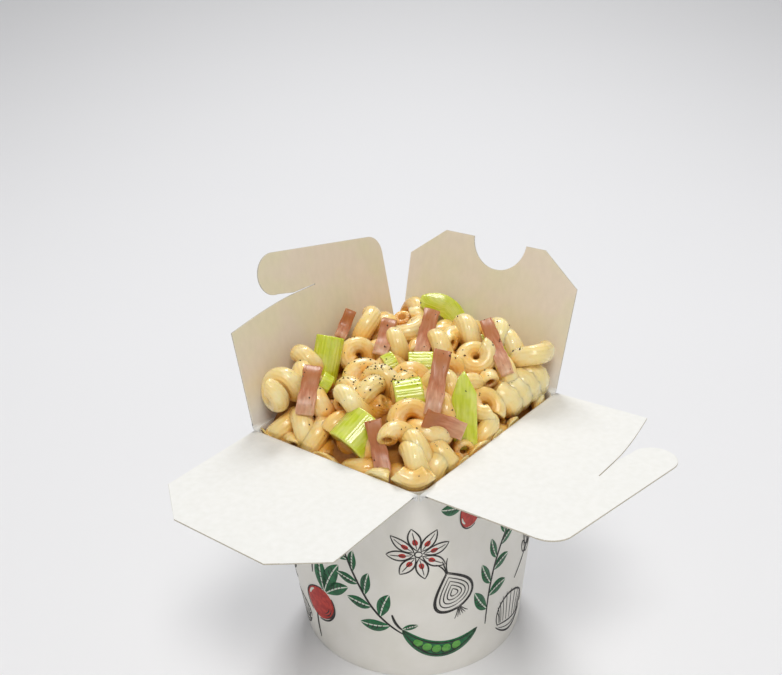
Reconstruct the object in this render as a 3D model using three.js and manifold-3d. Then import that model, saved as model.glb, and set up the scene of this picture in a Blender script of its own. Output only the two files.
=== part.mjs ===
// A paperboard takeaway box with a round base and a rectangular mouth, open, heaped with corkscrew
// macaroni in a pale sauce, strips of ham and pieces of celery.
// Millimetres and degrees, +Z up. The origin is the centre of the underside. The two hooked lid
// flaps are on the X sides, the flap with the thumb notch is on +Y and the plain flap on -Y.
import * as THREE from "three";
import { mergeVertices } from "three/addons/utils/BufferGeometryUtils.js";
import Module from "manifold-3d";

// The box
const HEIGHT = 95.5; // underside to the fold lines of the lid
const BASE_RADIUS = 46.5;
const MOUTH = { x: 81.2, y: 96.2, corner: 6 };
const BOARD = 0.6; // thickness of the paperboard
const FLOOR = 1.6; // the base is double
const HEM = { from: 1.8, to: 2.6, deep: 1.0 }; // groove where the wall is turned in round the base
const FOOT = 0.4; // rounding of the lowest edge
const GAP = 0.4; // clearance between separate pieces
const TOPPING_GAP = 0.55; // a little more, as the toppings' curved faces are faceted

// The lid flaps: rest angle above the horizontal, pointing outwards
const FOLD_OUT = BOARD; // the fold line lies this far outside the wall's face
const FOLD_GAP = 0.65; // from the fold line to the flap's inner edge
const ANGLE = { backLeft: 79.5, frontRight: 1.5, backRight: 74.5, frontLeft: -2 };
const SIDE_TRIM = 0.8; // a flap stops this far short of the mouth's corners
const HOOK_FLAP = {
  slotEdge: 40, // the body's edge at the slot's mouth
  slotEnd: 44.4,
  slit: 0.5, // width of the slot at its inner end
  slitU: -11, // where the slot ends along the flap
  tabU: -19.5,
  tabV: 55.4,
  tabRadius: 8.5,
  topV: 54.5, // top edge above the rounded shoulder
  shoulderRadius: 9,
};
const NOTCH = { u: 1.8, v: 57.3, radius: 13 };
const NOTCHED_FLAP = { centre: -1, side: 41, flare: 1.2, chamferV: 43.6, topU: 25, topV: 56.7 };
const PLAIN_FLAP = { centre: 0, side: 39.5, flare: 0, chamferV: 43.9, topU: 21.4, topV: 57.1 };

// The food
const GOLDEN_ANGLE = Math.PI * (3 - Math.sqrt(5)); // between neighbours of a sunflower pattern
const HEAP_RISE = 27; // height of the heap above the mouth
const RUN_UP = 15; // how soon it rises behind the two front edges
const EDGE_BLEND = 6;
const CORE_DEPTH = 9; // the core lies this far under the heap's skin
const CORE_ROWS = [0.97, 0.75, 0.45]; // rings of the core's top, as shares of the way out to the wall
const HEADROOM = 45; // the food stays below this, above the mouth
// Pasta may reach a little over the front edges, from one height above them to another.
const OVERHANG = { by: 0.4, from: 0.7, to: 2.2 };
const TUBE_RADIUS = 3.8;
const TUBE_SIDES = { laid: 8, filled: 6 };
const STEPS_PER_TURN = 9;
const HAM_THICK = 1.4;
const HAM_STEPS = 9;
const HAM_RIPPLES = 1.5;

// Pieces of macaroni that show: place in plan, height above the mouth, heading and tilt of the
// corkscrew's axis, turns, start angle, radius of the coil and length of a turn.
const MACARONI = [
  [-34.3, -37, 16, 88, 4, 1.7, 100, 4.6, 9.5],
  [-29, -24, 17, 20, 40, 0.6, 60, 5, 8],
  [-36, -19, 20, 60, 20, 0.5, 60, 4.5, 8],
  [-33.5, -37.6, -1, 0, -55, 0.5, 50, 6, 8],
  [-21, -38, 2, 40, 0, 0.8, 30, 5.5, 8],
  [-16, -38, 0, 15, -40, 0.6, 40, 5.5, 8],
  [-20, -30, 11, 40, 10, 0.9, 10, 4.5, 8],
  [-2, -27, 14, 35, -10, 0.9, 50, 3, 20],
  [-24, -2, 19, -50, 32, 0.75, -15, 4.5, 8],
  [-12, -12, 15, -50, 45, 0.65, -20, 5.8, 8],
  [-34, 16, 23, 15, -40, 0.7, 20, 5.5, 8],
  [-19, 23, 23, 105, 85, 0.6, 0, 6, 8],
  [-15, 13, 20, 40, 0, 0.8, 10, 4.8, 8],
  [-6, -38, -6, -50, 55, 0.6, 340, 5, 8],
  [8, -37.8, -5, 100, 65, 0.5, 20, 6, 8],
  [20.5, -33.5, 8, -50, 45, 0.68, -65, 4.2, 8],
  [18, -22, 10, -50, 38, 0.6, -20, 5.8, 8],
  [31.8, -39.8, 8.4, -51, 24, 0.27, 221, 8, 6],
  [29, -34, 3, 40, 0, 0.7, 50, 4.5, 8],
  [31.9, -21, 1, 45, 20, 0.7, 50, 5, 8],
  [31, -26, -3, 20, -35, 0.6, 40, 5.5, 8],
  [33.7, -15, -5, 38, 0, 0.75, 180, 5, 8],
  [32.7, 4, -2, 10, -45, 0.55, 50, 5.5, 8],
  [30, 10, 7, -50, 55, 0.9, 330, 5, 8],
  [31.8, 31.6, 6.4, 84, 9, 3.7, 90, 5, 6],
  [15, 26, 17, -50, 50, 1.4, 280, 4.8, 6],
  [32.4, 41, 18, 115, 65, 0.6, 0, 5.5, 8],
  [22, 43, 18, 40, 10, 0.7, 30, 5, 8],
  [4, 37, 22, 40, 0, 0.8, 10, 4.6, 8],
  [16, 42, 21, 30, -20, 0.7, 30, 4.6, 8],
  [1, 22, 20, 40, 0, 0.7, 50, 4.5, 8],
  [4, 30, 20, -50, 65, 0.8, 300, 4.5, 8],
  [17, 6, 12, 40, 0, 0.8, 30, 5, 8],
  [22, -5, 8, 40, 0, 0.8, 10, 5, 8],
  [27, 30, 12, 40, 0, 0.8, 10, 5, 8],
  [24, -20, 7, 70, 50, 0.7, 10, 5.5, 8],
];
// More macaroni fills what those leave bare, on a sunflower pattern.
const FILL = {
  tries: 66,
  reach: 1.04, // how far out the pattern goes, as a share of the mouth
  edge: 6, // nothing is placed this near the wall
  clear: 9.5, // nor this near another piece
  sink: 7.5, // depth of a piece's middle under the heap's skin
  tilt: { least: -15, most: 45 },
  coil: 4.8,
  pitch: 8,
  turns: 0.8,
};
const SEED = 20;

// Strips of ham: place and height of the lower end, heading and tilt of the length, length, width,
// turn of the face about the length, bend over the length and height of the ripple.
const HAM = [
  [-39, 4, 21, 100, 40, 13, 5, 30, 25, 0.4],
  [-15, 1, 20.5, 110, 38, 19, 6.3, 15, -20, 0.4],
  [-0.5, 8, 18.5, 110, 35, 28, 6.6, 20, -15, 0.3],
  [32, 23, 16, 145, 32, 30, 5.6, -20, -15, 0.4],
  [25, -19, 14, 110, 46, 28, 6.6, 20, -20, 0.4],
  [-18, -42, 11, 110, 60, 22, 7, 15, -50, 0.3],
  [22.5, -44, -4, 142, 45, 24, 6, -15, 20, 0.5],
  [37, -15, 9, -155, 20, 17, 7, -65, 40, 0.3],
];

// Pieces of celery stalk, each a slice of a gutter: place and height of the gutter's centre, heading and
// tilt of the direction to its back, roll, outer and inner radius, angle round, length.
const CELERY = [
  [-17, 41.6, 18.5, 63, 43, 56, 14.2, 5, 120, 6],
  [-31, -14, 19, -46, 24, -14, 5.8, 3.0, 150, 21],
  [-21, -26.5, 17, -41, 23, 55, 4.4, 1.8, 200, 4.5],
  [9, -12, 14, -50, 54, -84, 7.4, 3.6, 150, 11],
  [2, -34, 4.5, -59, 53, -36, 9.6, 5.2, 130, 14],
  [1, 7, 17.5, -50, 54, -93, 6, 3.4, 110, 10],
  [-10, 1, 17, -50, 54, -66, 5.5, 3, 110, 5],
  [21, 38, 15, -19, 20, -23, 5.5, 3.2, 110, 8],
  [6, 37, 16, -50, 54, -93, 5.5, 3.2, 110, 9],
];
// The flat slice stands on end: place and height of its foot, heading and tilt of its length, and its
// outline as shares of its length and of half its width.
const SLICE = {
  place: [34, -10, -2],
  heading: 127,
  tilt: 66,
  length: 30,
  width: 9.6,
  thick: 2.6,
  outline: [
    [0, -1],
    [0.72, -1],
    [1, -0.1],
    [0.92, 0.45],
    [0.67, 1],
    [0.12, 0.9],
  ],
};

const COLOUR = { board: "#e9e7e3", macaroni: "#ecd9a6", ham: "#b8776a", celery: "#c4cf4a" };

const wasm = await Module();
wasm.setup();

const rad = THREE.MathUtils.degToRad;

// A surface for each slot
function material(colour, roughness) {
  return new THREE.MeshStandardMaterial({ color: colour, roughness, metalness: 0 });
}
const board = material(COLOUR.board, 0.55);
const pasta = material(COLOUR.macaroni, 0.35);
const ham = material(COLOUR.ham, 0.45);
const celery = material(COLOUR.celery, 0.3);

// A closed geometry as a solid that can be cut and joined
function solid(geometry) {
  const bare = new THREE.BufferGeometry();
  bare.setAttribute("position", geometry.getAttribute("position"));
  bare.setIndex(geometry.getIndex());
  const merged = mergeVertices(bare, 1e-4);
  const corners = merged.getIndex().array;
  const kept = [];
  for (let i = 0; i < corners.length; i += 3) {
    const [a, b, c] = corners.slice(i, i + 3);
    if (a !== b && b !== c && c !== a) kept.push(a, b, c);
  }
  return new wasm.Manifold(
    new wasm.Mesh({
      numProp: 3,
      vertProperties: new Float32Array(merged.getAttribute("position").array),
      triVerts: new Uint32Array(kept),
    }),
  );
}

// The largest body of a solid, as a geometry
function geometryOf(whole) {
  const bodies = whole.decompose().sort((a, b) => b.volume() - a.volume());
  const mesh = bodies[0].getMesh();
  const geometry = new THREE.BufferGeometry();
  geometry.setAttribute("position", new THREE.BufferAttribute(mesh.vertProperties, 3));
  geometry.setIndex(new THREE.BufferAttribute(mesh.triVerts, 1));
  return geometry;
}

// The wall's columns: outward directions, close together at the corners and with one wide step
// across each flat side.
const CORNER_STEPS = 8;
const CORNER_START = 2;
const columns = [];
for (let corner = 0; corner < 4; corner++) {
  for (let step = 0; step <= CORNER_STEPS; step++) {
    const turn = CORNER_START + ((90 - 2 * CORNER_START) * step) / CORNER_STEPS;
    const angle = rad(90 * corner + turn);
    const atFold = step === 0 || step === CORNER_STEPS;
    columns.push({ x: Math.cos(angle), y: Math.sin(angle), atFold });
  }
}

// The wall is a straight loft from the base circle to the mouth's rounded rectangle. Points of the
// two that share an outward direction are joined, as board that bends only one way has to be.
function wallPoint(column, height, inset) {
  const share = height / HEIGHT;
  const radius = THREE.MathUtils.lerp(BASE_RADIUS, MOUTH.corner, share) - inset;
  const x = share * (MOUTH.x / 2 - MOUTH.corner) * Math.sign(column.x) + radius * column.x;
  const y = share * (MOUTH.y / 2 - MOUTH.corner) * Math.sign(column.y) + radius * column.y;
  return new THREE.Vector3(x, y, height);
}

// A turned profile whose rings take the wall's outline: each row gives its point on every column.
function loft(rows) {
  const profile = rows.map((row, j) => new THREE.Vector2(row.onAxis ? 0 : 1, j));
  const geometry = new THREE.LatheGeometry(profile, columns.length);
  const position = geometry.getAttribute("position");
  for (let i = 0; i <= columns.length; i++) {
    rows.forEach((row, j) => {
      const point = row.onAxis ? row.onAxis : row.at(columns[i % columns.length]);
      position.setXYZ(i * rows.length + j, point.x, point.y, point.z);
    });
  }
  return geometry;
}
const onAxis = (height) => ({ onAxis: new THREE.Vector3(0, 0, height) });
const ring = (height, inset) => ({ at: (column) => wallPoint(column, height, inset) });

// The fold lines are a thin bead outside the wall's top edge, which fades out at the corners.
function rim(height, outset) {
  const FADE = 0.15;
  return {
    at: (column) => wallPoint(column, HEIGHT, -outset * (column.atFold ? 1 : FADE)).setZ(height),
  };
}

function box() {
  return loft([
    onAxis(0),
    ring(0, HEM.to),
    ring(HEM.deep, HEM.to),
    ring(HEM.deep, HEM.from),
    ring(0, HEM.from),
    ring(0, FOOT),
    ring(FOOT, 0),
    ring(HEIGHT - BOARD, 0),
    rim(HEIGHT - BOARD / 2, FOLD_OUT),
    rim(HEIGHT, FOLD_OUT + BOARD / 2),
    rim(HEIGHT + BOARD / 2, FOLD_OUT),
    ring(HEIGHT, BOARD),
    ring(FLOOR, BOARD),
    onAxis(FLOOR),
  ]);
}

// Flap outlines: u runs to the right as seen from inside the box, v runs out from the fold line.
function hookedOutline() {
  const half = MOUTH.y / 2 - SIDE_TRIM;
  const f = HOOK_FLAP;
  const slope = Math.atan2(f.tabV + f.tabRadius - f.topV, half - f.tabU);
  const shape = new THREE.Shape();
  shape.moveTo(-half, FOLD_GAP);
  shape.lineTo(half, FOLD_GAP);
  const shoulder = { u: half - f.shoulderRadius, v: f.topV - f.shoulderRadius };
  shape.lineTo(half, shoulder.v);
  shape.absarc(shoulder.u, shoulder.v, f.shoulderRadius, 0, Math.PI / 2 - slope, false);
  shape.absarc(f.tabU, f.tabV, f.tabRadius, Math.PI / 2 - slope, 1.5 * Math.PI, false);
  shape.lineTo(f.slitU, f.slotEnd + f.slit);
  shape.lineTo(f.slitU, f.slotEnd);
  shape.quadraticCurveTo(-half / 2, f.slotEnd, -half, f.slotEdge);
  shape.closePath();
  return shape;
}

function facetedOutline(flap, notch) {
  const at = (side, v) => [flap.centre + side, v];
  const shape = new THREE.Shape();
  shape.moveTo(...at(-flap.side, FOLD_GAP));
  shape.lineTo(...at(flap.side, FOLD_GAP));
  shape.lineTo(...at(flap.side + flap.flare, flap.chamferV));
  shape.lineTo(...at(flap.topU, flap.topV));
  if (notch) {
    const dip = Math.asin((notch.v - flap.topV) / notch.radius);
    shape.absarc(notch.u, notch.v, notch.radius, -dip, Math.PI + dip, true);
  }
  shape.lineTo(...at(-flap.topU, flap.topV));
  shape.lineTo(...at(-flap.side - flap.flare, flap.chamferV));
  shape.closePath();
  return shape;
}

// A flap is a plate in a group at its fold line, turned about it to the rest angle. In that group
// X is u, Y is v and Z is the inner face's side.
function flap(name, shape, facing, angle) {
  const geometry = new THREE.ExtrudeGeometry(shape, {
    depth: BOARD,
    bevelEnabled: false,
    curveSegments: 7,
  });
  geometry.translate(0, 0, -BOARD / 2);
  const plate = new THREE.Mesh(geometry, board);
  plate.name = name;
  const hinge = new THREE.Group();
  hinge.add(plate);
  hinge.rotation.x = rad(angle);
  const side = new THREE.Group();
  side.add(hinge);
  side.rotation.z = rad(facing - 90);
  const half = facing % 180 === 0 ? MOUTH.x / 2 : MOUTH.y / 2;
  const out = new THREE.Vector3(Math.cos(rad(facing)), Math.sin(rad(facing)), 0);
  side.position.copy(out.multiplyScalar(half + FOLD_OUT)).setZ(HEIGHT);
  return side;
}

// Height of the heap's skin above the mouth: nothing at the two front edges, full behind them and
// against the two raised flaps.
function skin(x, y) {
  const fromPlain = y + MOUTH.y / 2;
  const fromHooked = MOUTH.x / 2 - x;
  const near = -EDGE_BLEND * Math.log(Math.exp(-fromPlain / EDGE_BLEND) + Math.exp(-fromHooked / EDGE_BLEND));
  return HEAP_RISE * (1 - Math.exp(-Math.max(near, 0) / RUN_UP));
}

// A ring of the core's top, at a share of the way from the middle to the wall
function mound(share) {
  return {
    at: (column) => {
      const point = wallPoint(column, HEIGHT, BOARD + GAP).multiplyScalar(share);
      return point.setZ(HEIGHT + skin(point.x, point.y) - CORE_DEPTH);
    },
  };
}

function core() {
  const inset = BOARD + GAP;
  return loft([
    onAxis(FLOOR + GAP),
    ring(FLOOR + GAP, inset),
    ring(HEIGHT - CORE_DEPTH - 2, inset),
    ...CORE_ROWS.map(mound),
    onAxis(HEIGHT + skin(0, 0) - CORE_DEPTH),
  ]);
}

// The space that the food may fill: the box, and above it what the two raised flaps leave
function room() {
  const inset = BOARD + GAP;
  const upright = (height, by) => ({ at: (column) => wallPoint(column, HEIGHT, by).setZ(height) });
  const leaning = {
    at: (column) => {
      const point = wallPoint(column, HEIGHT, -OVERHANG.by);
      if (column.x < 0) point.x -= HEADROOM / Math.tan(rad(ANGLE.backLeft));
      if (column.y > 0) point.y += HEADROOM / Math.tan(rad(ANGLE.backRight));
      return point.setZ(HEIGHT + HEADROOM);
    },
  };
  return loft([
    onAxis(FLOOR + GAP),
    ring(FLOOR + GAP, inset),
    ring(HEIGHT, inset),
    upright(HEIGHT + OVERHANG.from, inset),
    upright(HEIGHT + OVERHANG.to, -OVERHANG.by),
    leaning,
    onAxis(HEIGHT + HEADROOM),
  ]);
}

// Puts a piece made along its own X at a place above the mouth. Its Y is then level, before the roll.
function placed(geometry, [x, y, up], heading, tilt, roll) {
  const turn = new THREE.Euler(rad(roll), rad(-tilt), rad(heading), "ZYX");
  const matrix = new THREE.Matrix4().makeRotationFromEuler(turn).setPosition(x, y, HEIGHT + up);
  return geometry.applyMatrix4(matrix);
}

// The middle line of a corkscrew piece, along X
class CorkscrewCurve extends THREE.Curve {
  constructor(turns, start, coil, pitch) {
    super();
    Object.assign(this, { turns, start, coil, pitch });
  }

  getPoint(t, target = new THREE.Vector3()) {
    const angle = rad(this.start + 360 * this.turns * t);
    const along = this.pitch * this.turns * (t - 0.5);
    return target.set(along, this.coil * Math.cos(angle), this.coil * Math.sin(angle));
  }
}

function corkscrew([x, y, up, heading, tilt, turns, start, coil, pitch], sides) {
  const section = new THREE.Shape();
  section.absarc(0, 0, TUBE_RADIUS, 0, 2 * Math.PI, false);
  const geometry = new THREE.ExtrudeGeometry(section, {
    steps: Math.ceil(STEPS_PER_TURN * turns) + 1,
    curveSegments: sides / 2,
    extrudePath: new CorkscrewCurve(turns, start, coil, pitch),
  });
  return placed(geometry, [x, y, up], heading, tilt, 0);
}

// The same sequence of numbers between 0 and 1 each run, by a multiplying rule
const MULTIPLIER = 16807;
const MODULUS = 2 ** 31 - 1;
function sequence(seed) {
  let state = seed;
  return () => {
    state = (state * MULTIPLIER) % MODULUS;
    return state / MODULUS;
  };
}

// Pieces for the bare places: a sunflower pattern over the mouth, leaving out what is near a laid
// piece or a topping.
function filling() {
  const next = sequence(SEED);
  const taken = [...MACARONI, ...HAM, ...CELERY].map(([x, y]) => [x, y]);
  taken.push(SLICE.place.slice(0, 2));
  const found = [];
  for (let i = 0; i < FILL.tries; i++) {
    const share = FILL.reach * Math.sqrt((i + 0.5) / FILL.tries);
    const angle = i * GOLDEN_ANGLE;
    const x = share * (MOUTH.x / 2 - TUBE_RADIUS) * Math.cos(angle);
    const y = share * (MOUTH.y / 2 - TUBE_RADIUS) * Math.sin(angle);
    const heading = 360 * next();
    const tilt = THREE.MathUtils.lerp(FILL.tilt.least, FILL.tilt.most, next());
    const start = 360 * next();
    const inside = Math.abs(x) < MOUTH.x / 2 - FILL.edge && Math.abs(y) < MOUTH.y / 2 - FILL.edge;
    if (!inside || taken.some(([a, b]) => Math.hypot(a - x, b - y) < FILL.clear)) continue;
    taken.push([x, y]);
    found.push([x, y, skin(x, y) - FILL.sink, heading, tilt, FILL.turns, start, FILL.coil, FILL.pitch]);
  }
  return found;
}

// A strip of ham: a thin box along X whose grid is bent to an arc and rippled. spare makes it larger
// on every side.
function hamStrip([x, y, up, heading, tilt, length, width, face, bend, ripple], spare = 0) {
  const size = [length, width, HAM_THICK].map((side) => side + 2 * spare);
  const geometry = new THREE.BoxGeometry(...size, HAM_STEPS, 1, 1);
  const position = geometry.getAttribute("position");
  const curve = rad(bend) / length;
  for (let i = 0; i < position.count; i++) {
    const along = position.getX(i) + length / 2;
    const out = position.getZ(i) + ripple * Math.sin((2 * Math.PI * HAM_RIPPLES * along) / length);
    const turned = curve * along;
    const px = Math.sin(turned) / curve - out * Math.sin(turned);
    const pz = (1 - Math.cos(turned)) / curve + out * Math.cos(turned);
    position.setXYZ(i, px, position.getY(i), pz);
  }
  return placed(geometry, [x, y, up], heading, tilt, face);
}

// A slice of celery stalk: a ring sector extruded along Z, its back towards X
function celeryPiece([x, y, up, heading, tilt, roll, outer, inner, round, length], spare = 0) {
  const half = rad(round) / 2;
  const [big, small] = [outer + spare, inner - spare];
  const extra = spare / ((outer + inner) / 2);
  const shape = new THREE.Shape();
  shape.absarc(0, 0, big, -half - extra, half + extra, false);
  shape.absarc(0, 0, small, half + extra, -half - extra, true);
  shape.closePath();
  const geometry = new THREE.ExtrudeGeometry(shape, {
    depth: length + 2 * spare,
    bevelEnabled: false,
    curveSegments: 5,
  });
  geometry.translate(0, 0, -length / 2 - spare);
  return placed(geometry, [x, y, up], heading, tilt, roll);
}

// The flat slice: a blade with cut corners, standing along X
function celerySlice(spare = 0) {
  const { length, width, thick } = SLICE;
  const shape = new THREE.Shape(
    SLICE.outline.map(([along, across]) => {
      const x = THREE.MathUtils.lerp(-spare, length + spare, along);
      return new THREE.Vector2(x, across * (width / 2 + spare));
    }),
  );
  const geometry = new THREE.ExtrudeGeometry(shape, {
    depth: thick + 2 * spare,
    bevelEnabled: false,
  });
  geometry.translate(0, 0, -thick / 2 - spare);
  return placed(geometry, SLICE.place, SLICE.heading, SLICE.tilt, 0);
}

function heap() {
  let whole = solid(core());
  for (const piece of MACARONI) whole = whole.add(solid(corkscrew(piece, TUBE_SIDES.laid)));
  for (const piece of filling()) whole = whole.add(solid(corkscrew(piece, TUBE_SIDES.filled)));
  whole = whole.intersect(solid(room()));
  for (const strip of HAM) whole = whole.subtract(solid(hamStrip(strip, TOPPING_GAP)));
  for (const piece of CELERY) whole = whole.subtract(solid(celeryPiece(piece, TOPPING_GAP)));
  whole = whole.subtract(solid(celerySlice(TOPPING_GAP)));
  return geometryOf(whole);
}

function mesh(name, geometry, surface) {
  const made = new THREE.Mesh(geometry, surface);
  made.name = name;
  return made;
}

const model = new THREE.Group();
model.add(mesh("box", box(), board));
model.add(flap("flap_back_left", hookedOutline(), 180, ANGLE.backLeft));
model.add(flap("flap_front_right", hookedOutline(), 0, ANGLE.frontRight));
model.add(flap("flap_back_right", facetedOutline(NOTCHED_FLAP, NOTCH), 90, ANGLE.backRight));
model.add(flap("flap_front_left", facetedOutline(PLAIN_FLAP), -90, ANGLE.frontLeft));
model.add(mesh("macaroni_heap", heap(), pasta));
HAM.forEach((strip, i) => model.add(mesh(`ham_strip_${i + 1}`, hamStrip(strip), ham)));
CELERY.forEach((piece, i) => model.add(mesh(`celery_piece_${i + 1}`, celeryPiece(piece), celery)));
model.add(mesh("celery_slice", celerySlice(), celery));

export default model;
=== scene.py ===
import bmesh
import bpy
import numpy as np
from mathutils import Matrix, Vector
from mathutils.bvhtree import BVHTree


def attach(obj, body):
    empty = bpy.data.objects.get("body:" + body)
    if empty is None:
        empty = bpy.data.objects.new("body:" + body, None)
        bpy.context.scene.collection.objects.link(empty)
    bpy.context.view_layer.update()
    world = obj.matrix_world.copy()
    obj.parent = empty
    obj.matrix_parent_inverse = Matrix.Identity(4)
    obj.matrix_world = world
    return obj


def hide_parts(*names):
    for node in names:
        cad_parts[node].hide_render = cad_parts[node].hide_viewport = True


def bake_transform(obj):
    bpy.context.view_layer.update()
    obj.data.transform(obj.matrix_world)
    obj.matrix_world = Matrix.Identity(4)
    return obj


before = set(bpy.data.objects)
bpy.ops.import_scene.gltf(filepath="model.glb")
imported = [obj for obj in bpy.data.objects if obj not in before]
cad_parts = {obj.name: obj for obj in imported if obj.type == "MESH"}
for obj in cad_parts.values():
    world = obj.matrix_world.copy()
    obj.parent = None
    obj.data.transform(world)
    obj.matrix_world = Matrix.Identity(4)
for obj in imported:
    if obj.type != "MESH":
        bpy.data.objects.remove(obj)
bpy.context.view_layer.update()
MM = 0.001
BODY = "box_and_food"

# The box, as in the part's source
HEIGHT = 95.5
BASE_RADIUS = 46.5
MOUTH_X, MOUTH_Y, MOUTH_CORNER = 81.2, 96.2, 6.0
BOARD = 0.6
FLOOR = 1.6
GAP = 0.4
FOLD_OUT = BOARD
SIDE_TRIM = 0.8
# How finely the wall is divided: steps round each corner, and parts of each flat side
CORNER_STEPS, SIDE_PARTS = 24, 6
# Each flap starts this far out from its fold, and its end springs back off its plane
START_V = 1.2
SPRING, FLAP_LENGTH = 0.5, 60
UP = np.array([0.0, 0.0, 1.0])

# Each flap: direction it faces in plan, rest angle above the horizontal, and its body
FLAPS = {
    "flap_back_left": {"facing": 180, "angle": 79.5, "outline": "hooked"},
    "flap_front_right": {"facing": 0, "angle": 1.5, "outline": "hooked"},
    "flap_back_right": {"facing": 90, "angle": 74.5, "outline": "notched"},
    "flap_front_left": {"facing": -90, "angle": -2, "outline": "plain"},
}

# The heap's skin, as in the part's source
HEAP_RISE = 27
RUN_UP = 15
EDGE_BLEND = 6
TUBE = 3.8

# The laid pieces of macaroni, as in the part's source: place and height above the mouth, heading and
# tilt of the corkscrew's axis, turns, start angle, radius of the coil and length of a turn.
MACARONI = [
    (-34.3, -37, 16, 88, 4, 1.7, 100, 4.6, 9.5),
    (-29, -24, 17, 20, 40, 0.6, 60, 5, 8),
    (-36, -19, 20, 60, 20, 0.5, 60, 4.5, 8),
    (-33.5, -37.6, -1, 0, -55, 0.5, 50, 6, 8),
    (-21, -38, 2, 40, 0, 0.8, 30, 5.5, 8),
    (-16, -38, 0, 15, -40, 0.6, 40, 5.5, 8),
    (-20, -30, 11, 40, 10, 0.9, 10, 4.5, 8),
    (-2, -27, 14, 35, -10, 0.9, 50, 3, 20),
    (-24, -2, 19, -50, 32, 0.75, -15, 4.5, 8),
    (-12, -12, 15, -50, 45, 0.65, -20, 5.8, 8),
    (-34, 16, 23, 15, -40, 0.7, 20, 5.5, 8),
    (-19, 23, 23, 105, 85, 0.6, 0, 6, 8),
    (-15, 13, 20, 40, 0, 0.8, 10, 4.8, 8),
    (-6, -38, -6, -50, 55, 0.6, 340, 5, 8),
    (8, -37.8, -5, 100, 65, 0.5, 20, 6, 8),
    (20.5, -33.5, 8, -50, 45, 0.68, -65, 4.2, 8),
    (18, -22, 10, -50, 38, 0.6, -20, 5.8, 8),
    (31.8, -39.8, 8.4, -51, 24, 0.27, 221, 8, 6),
    (29, -34, 3, 40, 0, 0.7, 50, 4.5, 8),
    (31.9, -21, 1, 45, 20, 0.7, 50, 5, 8),
    (31, -26, -3, 20, -35, 0.6, 40, 5.5, 8),
    (33.7, -15, -5, 38, 0, 0.75, 180, 5, 8),
    (32.7, 4, -2, 10, -45, 0.55, 50, 5.5, 8),
    (30, 10, 7, -50, 55, 0.9, 330, 5, 8),
    (31.8, 31.6, 6.4, 84, 9, 3.7, 90, 5, 6),
    (15, 26, 17, -50, 50, 1.4, 280, 4.8, 6),
    (32.4, 41, 18, 115, 65, 0.6, 0, 5.5, 8),
    (22, 43, 18, 40, 10, 0.7, 30, 5, 8),
    (4, 37, 22, 40, 0, 0.8, 10, 4.6, 8),
    (16, 42, 21, 30, -20, 0.7, 30, 4.6, 8),
    (1, 22, 20, 40, 0, 0.7, 50, 4.5, 8),
    (4, 30, 20, -50, 65, 0.8, 300, 4.5, 8),
    (17, 6, 12, 40, 0, 0.8, 30, 5, 8),
    (22, -5, 8, 40, 0, 0.8, 10, 5, 8),
    (27, 30, 12, 40, 0, 0.8, 10, 5, 8),
    (24, -20, 7, 70, 50, 0.7, 10, 5.5, 8),
]
# Strips of ham: place and height of the lower end, heading and tilt of the length, length, width,
# turn of the face about the length, bend over the length, height of the ripple.
HAM = [
    (-39, 4, 21, 100, 40, 13, 5, 30, 25, 0.4),
    (-15, 1, 20.5, 110, 38, 19, 6.3, 15, -20, 0.4),
    (-0.5, 8, 18.5, 110, 35, 28, 6.6, 20, -15, 0.3),
    (32, 23, 16, 145, 32, 30, 5.6, -20, -15, 0.4),
    (25, -19, 14, 110, 46, 28, 6.6, 20, -20, 0.4),
    (-18, -42, 11, 110, 60, 22, 7, 15, -50, 0.3),
    (22.5, -44, -4, 142, 45, 24, 6, -15, 20, 0.5),
    (37, -15, 9, -155, 20, 17, 7, -65, 40, 0.3),
]
HAM_THICK = 1.4
# Celery: place and height of the gutter's centre, heading and tilt of the direction to its back,
# roll, outer and inner radius, angle round, length.
CELERY = [
    (-17, 41.6, 18.5, 63, 43, 56, 14.2, 5, 120, 6),
    (-31, -14, 19, -46, 24, -14, 5.8, 3.0, 150, 21),
    (-21, -26.5, 17, -41, 23, 55, 4.4, 1.8, 200, 4.5),
    (9, -12, 14, -50, 54, -84, 7.4, 3.6, 150, 11),
    (2, -34, 4.5, -59, 53, -36, 9.6, 5.2, 130, 14),
    (1, 7, 17.5, -50, 54, -93, 6, 3.4, 110, 10),
    (-10, 1, 17, -50, 54, -66, 5.5, 3, 110, 5),
    (21, 38, 15, -19, 20, -23, 5.5, 3.2, 110, 8),
    (6, 37, 16, -50, 54, -93, 5.5, 3.2, 110, 9),
]
SLICE = {"place": (34, -10, -2), "heading": 127, "tilt": 66, "length": 30, "width": 9.6, "thick": 2.6}

# Everything random starts from this number, so each run gives the same food
SEED = 7
# Ridges round a tube of macaroni, depths of the two layers of filling under the skin, and their spacing
RIDGES = 14
LAYERS = (9.5, 17.5)
SPACING = 10.6
# Depth of the sauced core, how far food hangs over an open fold, and how softly it meets the board
CORE_DEPTH = 13
OVERHANG = 1.6
SQUEEZE = 2.2

# The studio, in metres: where the paper sweep starts to rise and its radius, and each lamp's place, size,
# power in watts and colour. All lamps point at AIM.
AZIMUTH = 38.48
SWEEP_START, SWEEP_RADIUS = 0.5, 2.4
SKY, SKY_STRENGTH = "#F4F5F7", 0.4
AIM = (0, 0, 0.1)
LIGHTS = [
    ("soft_box_behind", (-0.55, 0.75, 1.25), 0.5, 10.0, "#FFFFFF"),
    ("soft_box_over", (0.5, -0.55, 1.3), 0.5, 8.4, "#FFFDF9"),
    ("fill_in_front", (0.75, -1.1, 0.75), 1.2, 1.2, "#FFF4E4"),
]


# Colour and nodes

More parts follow.
